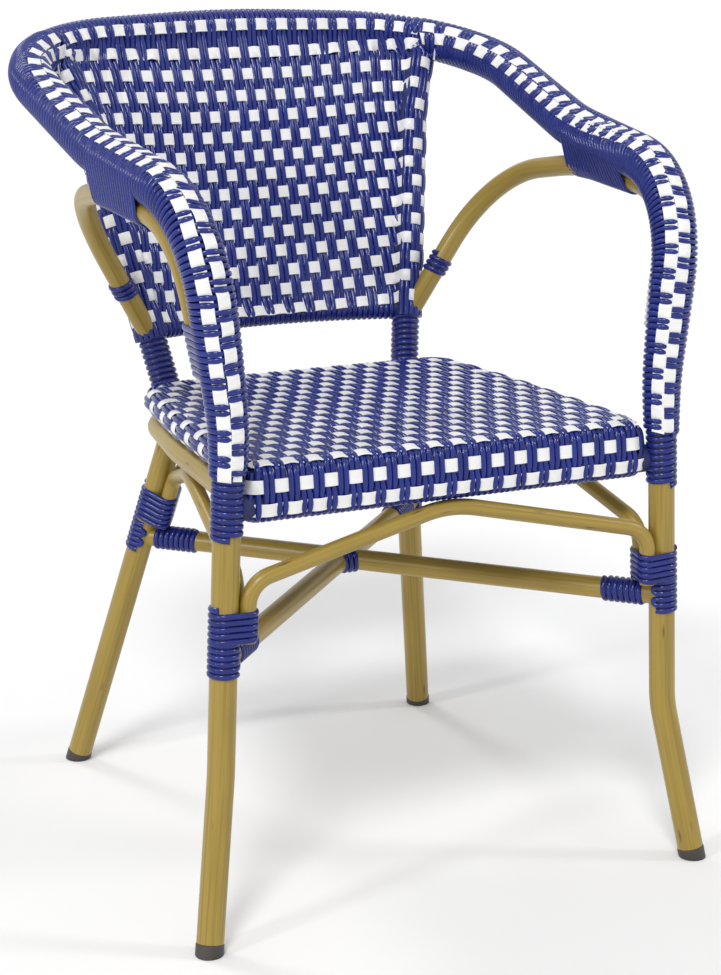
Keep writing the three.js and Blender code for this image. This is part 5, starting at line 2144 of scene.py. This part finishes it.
    def _joint(self, spine: Path, ways: Sequence[Array], bar_way: Array, tail: float) -> Curve:
        """Winds turns round a leg and the ends of its two braces, above the stretcher.

        Args:
            spine: The leg.
            ways: The ways from the leg to the braces.
            bar_way: The way from the leg along the stretcher.
            tail: By how much of a turn the last one goes on.

        Returns:
            The strand's path and its outward directions.
        """
        tubes, turns, height = self.runs.tubes, self.joint_turns, self.runs.stretcher_height
        offset = tubes.frame + tubes.gap + tubes.brace
        centre = spine.where(2, height)
        tangent = spine.frame(centre)[0]
        fall = max(0.0, float(bar_way @ tangent) / float(tangent[2]))
        dip = fall * (offset + tubes.brace + self.joint_dip_reach)
        floor = spine.where(2, height + tubes.stretcher + self.joint_lift + dip)
        discs = [Disc(tubes.frame), *(Disc(tubes.brace, tuple(way), offset) for way in ways)]
        first = self._angle(spine, centre, bar_way) - turns * FULL_TURN
        return self._helix(spine, floor + turns * self.pitch, turns + tail, first, discs, -1.0)

    def _rows(self, spine: Path, first: float, span: float, start: float) -> Curve:
        """Lays rows to and fro round a tube, each end turned back on a half circle.

        Unrolled, the line is straight rows a pitch apart, joined by half circles of that diameter.

        Args:
            spine: The tube.
            first: The angle of the rows' one end.
            span: The angle that they cover.
            start: The length of the first row.

        Returns:
            The strand's path and its outward directions.
        """
        radius, half = self.runs.tubes.frame, self.pitch / 2
        turn = np.linspace(-pi / 2, pi / 2, self.bend_points)[1:-1]
        angles, along = [], []
        for row in range(self.lashing_rows):
            there = row % 2 == 0
            line = first + np.linspace(0, span, self.row_points)
            bulge = np.cos(turn) * half / radius
            angles += [line, first + span + bulge] if there else [line[::-1], first - bulge]
            level = start - row * self.pitch
            along += [np.full(self.row_points, level), level - half - np.sin(turn) * half]
        path = np.concatenate(angles[:-1]), np.concatenate(along[:-1])
        return self._taut(spine, *path, [Disc(radius)])

    def _stretcher(self, spine: Path, way: Array) -> Curve:
        """Lays rows round the outside of a leg, from one side of the stretcher to the other."""
        tubes, runs = self.runs.tubes, self.runs
        centre = spine.where(2, runs.stretcher_height)
        beside = (self.strand.width / 2 + self.lashing_gap) / tubes.frame
        blocked = np.arcsin(tubes.stretcher / tubes.frame) + beside
        start = spine.where(2, runs.stretcher_height + runs.brace_end_rise) + self.lashing_overlap
        first = self._angle(spine, centre, way) + blocked
        return self._rows(spine, first, FULL_TURN - 2 * blocked, start)

    def _crossing(self) -> Curve:
        """Winds turns round both stretchers where they cross."""
        stretcher, radius = self.runs.stretcher, self.runs.tubes.stretcher
        turns, centre = self.crossing_turns, stretcher.point_where(0, 0.0)
        reach = self.pitch * (turns + 1)
        ends = [centre - SIDEWAYS * reach, centre + SIDEWAYS * reach]
        along_share, across_share = np.abs(stretcher.tangents[0][:2])
        aside = self.strand.width / 2 * across_share / along_share
        apart = radius * (1 / along_share - 1) + aside + self.crossing_spread
        discs = [Disc(radius, (0.0, sign, 0.0), apart) for sign in (-1.0, 1.0)]
        start = reach - turns * self.pitch / 2
        return self._helix(Path(np.stack(ends), UP, 1.0), start, turns, 0.0, discs)


# ------------------------------
# Studio


@dataclass(frozen=True)
class Camera:
    """The camera: its place in the maker's frame in millimetres, its angles and its lens."""

    place: Triple = (-1019.8488, -2172.5994, 1005.2881)
    yaw: float = 25.422069305
    pitch: float = -15.0262255706
    roll: float = 0.2095678717
    focal_pixels: float = 2372.492586896
    image_height: float = 975.0
    sensor: float = 36.0
    farthest: float = 100.0

    def build(self, shop: Workshop) -> None:
        """Places the camera: it looks along (sin yaw cos pitch, cos yaw cos pitch, sin pitch).

        Args:
            shop: Where the frame's shift and scale come from.
        """
        yaw, pitch, roll = radians(self.yaw), radians(self.pitch), radians(self.roll)
        ahead = np.array((sin(yaw) * cos(pitch), cos(yaw) * cos(pitch), sin(pitch)))
        level = np.array((cos(yaw), -sin(yaw), 0.0))
        upright = np.cross(level, ahead)
        right = cos(roll) * level + sin(roll) * upright
        above = -sin(roll) * level + cos(roll) * upright
        data = bpy.data.cameras.new("camera")
        data.sensor_width = self.sensor
        data.lens = self.sensor * self.focal_pixels / self.image_height
        data.clip_end = self.farthest
        camera = placed("camera", data)
        turn = Matrix(np.stack([right, above, -ahead], -1).tolist()).to_4x4()
        place = shop.packed(np.array([self.place]))[0]
        camera.matrix_world = Matrix.Translation(Vector(place.tolist())) @ turn
        bpy.context.scene.camera = camera


@dataclass(frozen=True)
class SoftLamp:
    """A broad, soft lamp far away: the way its light comes from, its strength and its spread."""

    name: str
    source: Triple
    strength: float
    spread: float

    def build(self) -> None:
        """Places the lamp."""
        data = bpy.data.lights.new(self.name, "SUN")
        data.energy = self.strength
        data.angle = radians(self.spread)
        turn = Vector(self.source).to_track_quat("Z", "Y")
        placed(self.name, data).rotation_euler = turn.to_euler()


@dataclass
class Studio:
    """Plain pale floor, soft light and the camera."""

    shop: Workshop
    camera: Camera = Camera()
    lamps: tuple[SoftLamp, ...] = (
        SoftLamp("key_lamp", (-0.60, -0.80, 1.25), 1.25, 14.0),
        SoftLamp("left_lamp", (-1.2, -0.35, 0.55), 0.65, 8.0),
        SoftLamp("right_lamp", (1.1, -0.5, 0.8), 0.5, 10.0),
        SoftLamp("rear_lamp", (-0.3, 1.0, 1.1), 0.45, 14.0),
    )
    floor_half: float = 30.0
    floor_colour: Triple = (0.93, 0.93, 0.93)
    floor_roughness: float = 0.9
    sky: float = 0.52
    sky_colour: tuple[float, float, float, float] = (1.0, 1.0, 1.0, 1.0)

    def build(self) -> None:
        """Makes the floor, the world, the lamps and the camera."""
        self._floor()
        self._world()
        for lamp in self.lamps:
            lamp.build()
        self.camera.build(self.shop)
        bpy.context.scene.view_settings.view_transform = "Standard"

    def _floor(self) -> None:
        """A large level square just under the feet."""
        half = self.floor_half
        mesh = bpy.data.meshes.new("floor")
        corners = [(-half, -half, 0), (half, -half, 0), (half, half, 0), (-half, half, 0)]
        mesh.from_pydata(corners, [], [(0, 1, 2, 3)])
        finish = PlainFinish("floor_paint", self.floor_colour, self.floor_roughness)
        mesh.materials.append(finish.material())
        placed("floor", mesh)

    def _world(self) -> None:
        """Even pale light, and pure white where the background itself is seen."""
        world = bpy.data.worlds.new("studio")
        bpy.context.scene.world = world
        world.use_nodes = True
        nodes, links = world.node_tree.nodes, world.node_tree.links
        light = nodes["Background"]
        seen = nodes.new("ShaderNodeBackground")
        for background, strength in ((light, self.sky), (seen, 1.0)):
            background.inputs["Color"].default_value = self.sky_colour
            background.inputs["Strength"].default_value = strength
        rays = nodes.new("ShaderNodeLightPath")
        direct = rays.outputs["Is Camera Ray"]
        for kind in ("Is Glossy Ray", "Is Transmission Ray"):
            either = nodes.new("ShaderNodeMath")
            either.operation = "MAXIMUM"
            links.new(direct, either.inputs[0])
            links.new(rays.outputs[kind], either.inputs[1])
            direct = either.outputs[0]
        mix = nodes.new("ShaderNodeMixShader")
        links.new(direct, mix.inputs["Fac"])
        links.new(light.outputs[0], mix.inputs[1])
        links.new(seen.outputs[0], mix.inputs[2])
        links.new(mix.outputs[0], nodes["World Output"].inputs["Surface"])


# ------------------------------
# The whole chair


def main() -> None:
    logging.basicConfig(level=logging.INFO, format="%(message)s")
    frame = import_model()
    runs, weave = ChairRuns(), WeaveSizes()
    low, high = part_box("front_seat_rail")
    shop = Workshop((low.y + high.y) / 2 * MM_PER_M - runs.seat_front, Finishes())
    LOG.info("%d packed nodes, set back by %.2f mm", len(frame["nodes"]), shop.setback)
    TubeFrame(runs, shop).build()
    FootCaps(runs, shop).build()
    for panel in (BackWeave, SeatWeave):
        part = panel.__name__.removesuffix("Weave").lower()
        names = [f"{part}_{piece}" for piece in ("strands", "tapes", "lining")]
        panel(runs, shop, weave).build(f"woven_{part}", names)
    squares = {Side.RIGHT: (RIGHT_INNER, RIGHT_OUTER), Side.LEFT: (LEFT_OUTER, LEFT_INNER)}
    for side in Side:
        names = [f"{side.label}_arm_{piece}" for piece in ("winding", "tapes", "lining")]
        sleeve = ArmSleeve(runs, shop, weave, side, squares[side])
        sleeve.build(f"{side.label}_arm_sleeve", names)
    Bindings(runs, shop).build()
    Studio(shop).build()


if __name__ == "__main__":
    main()
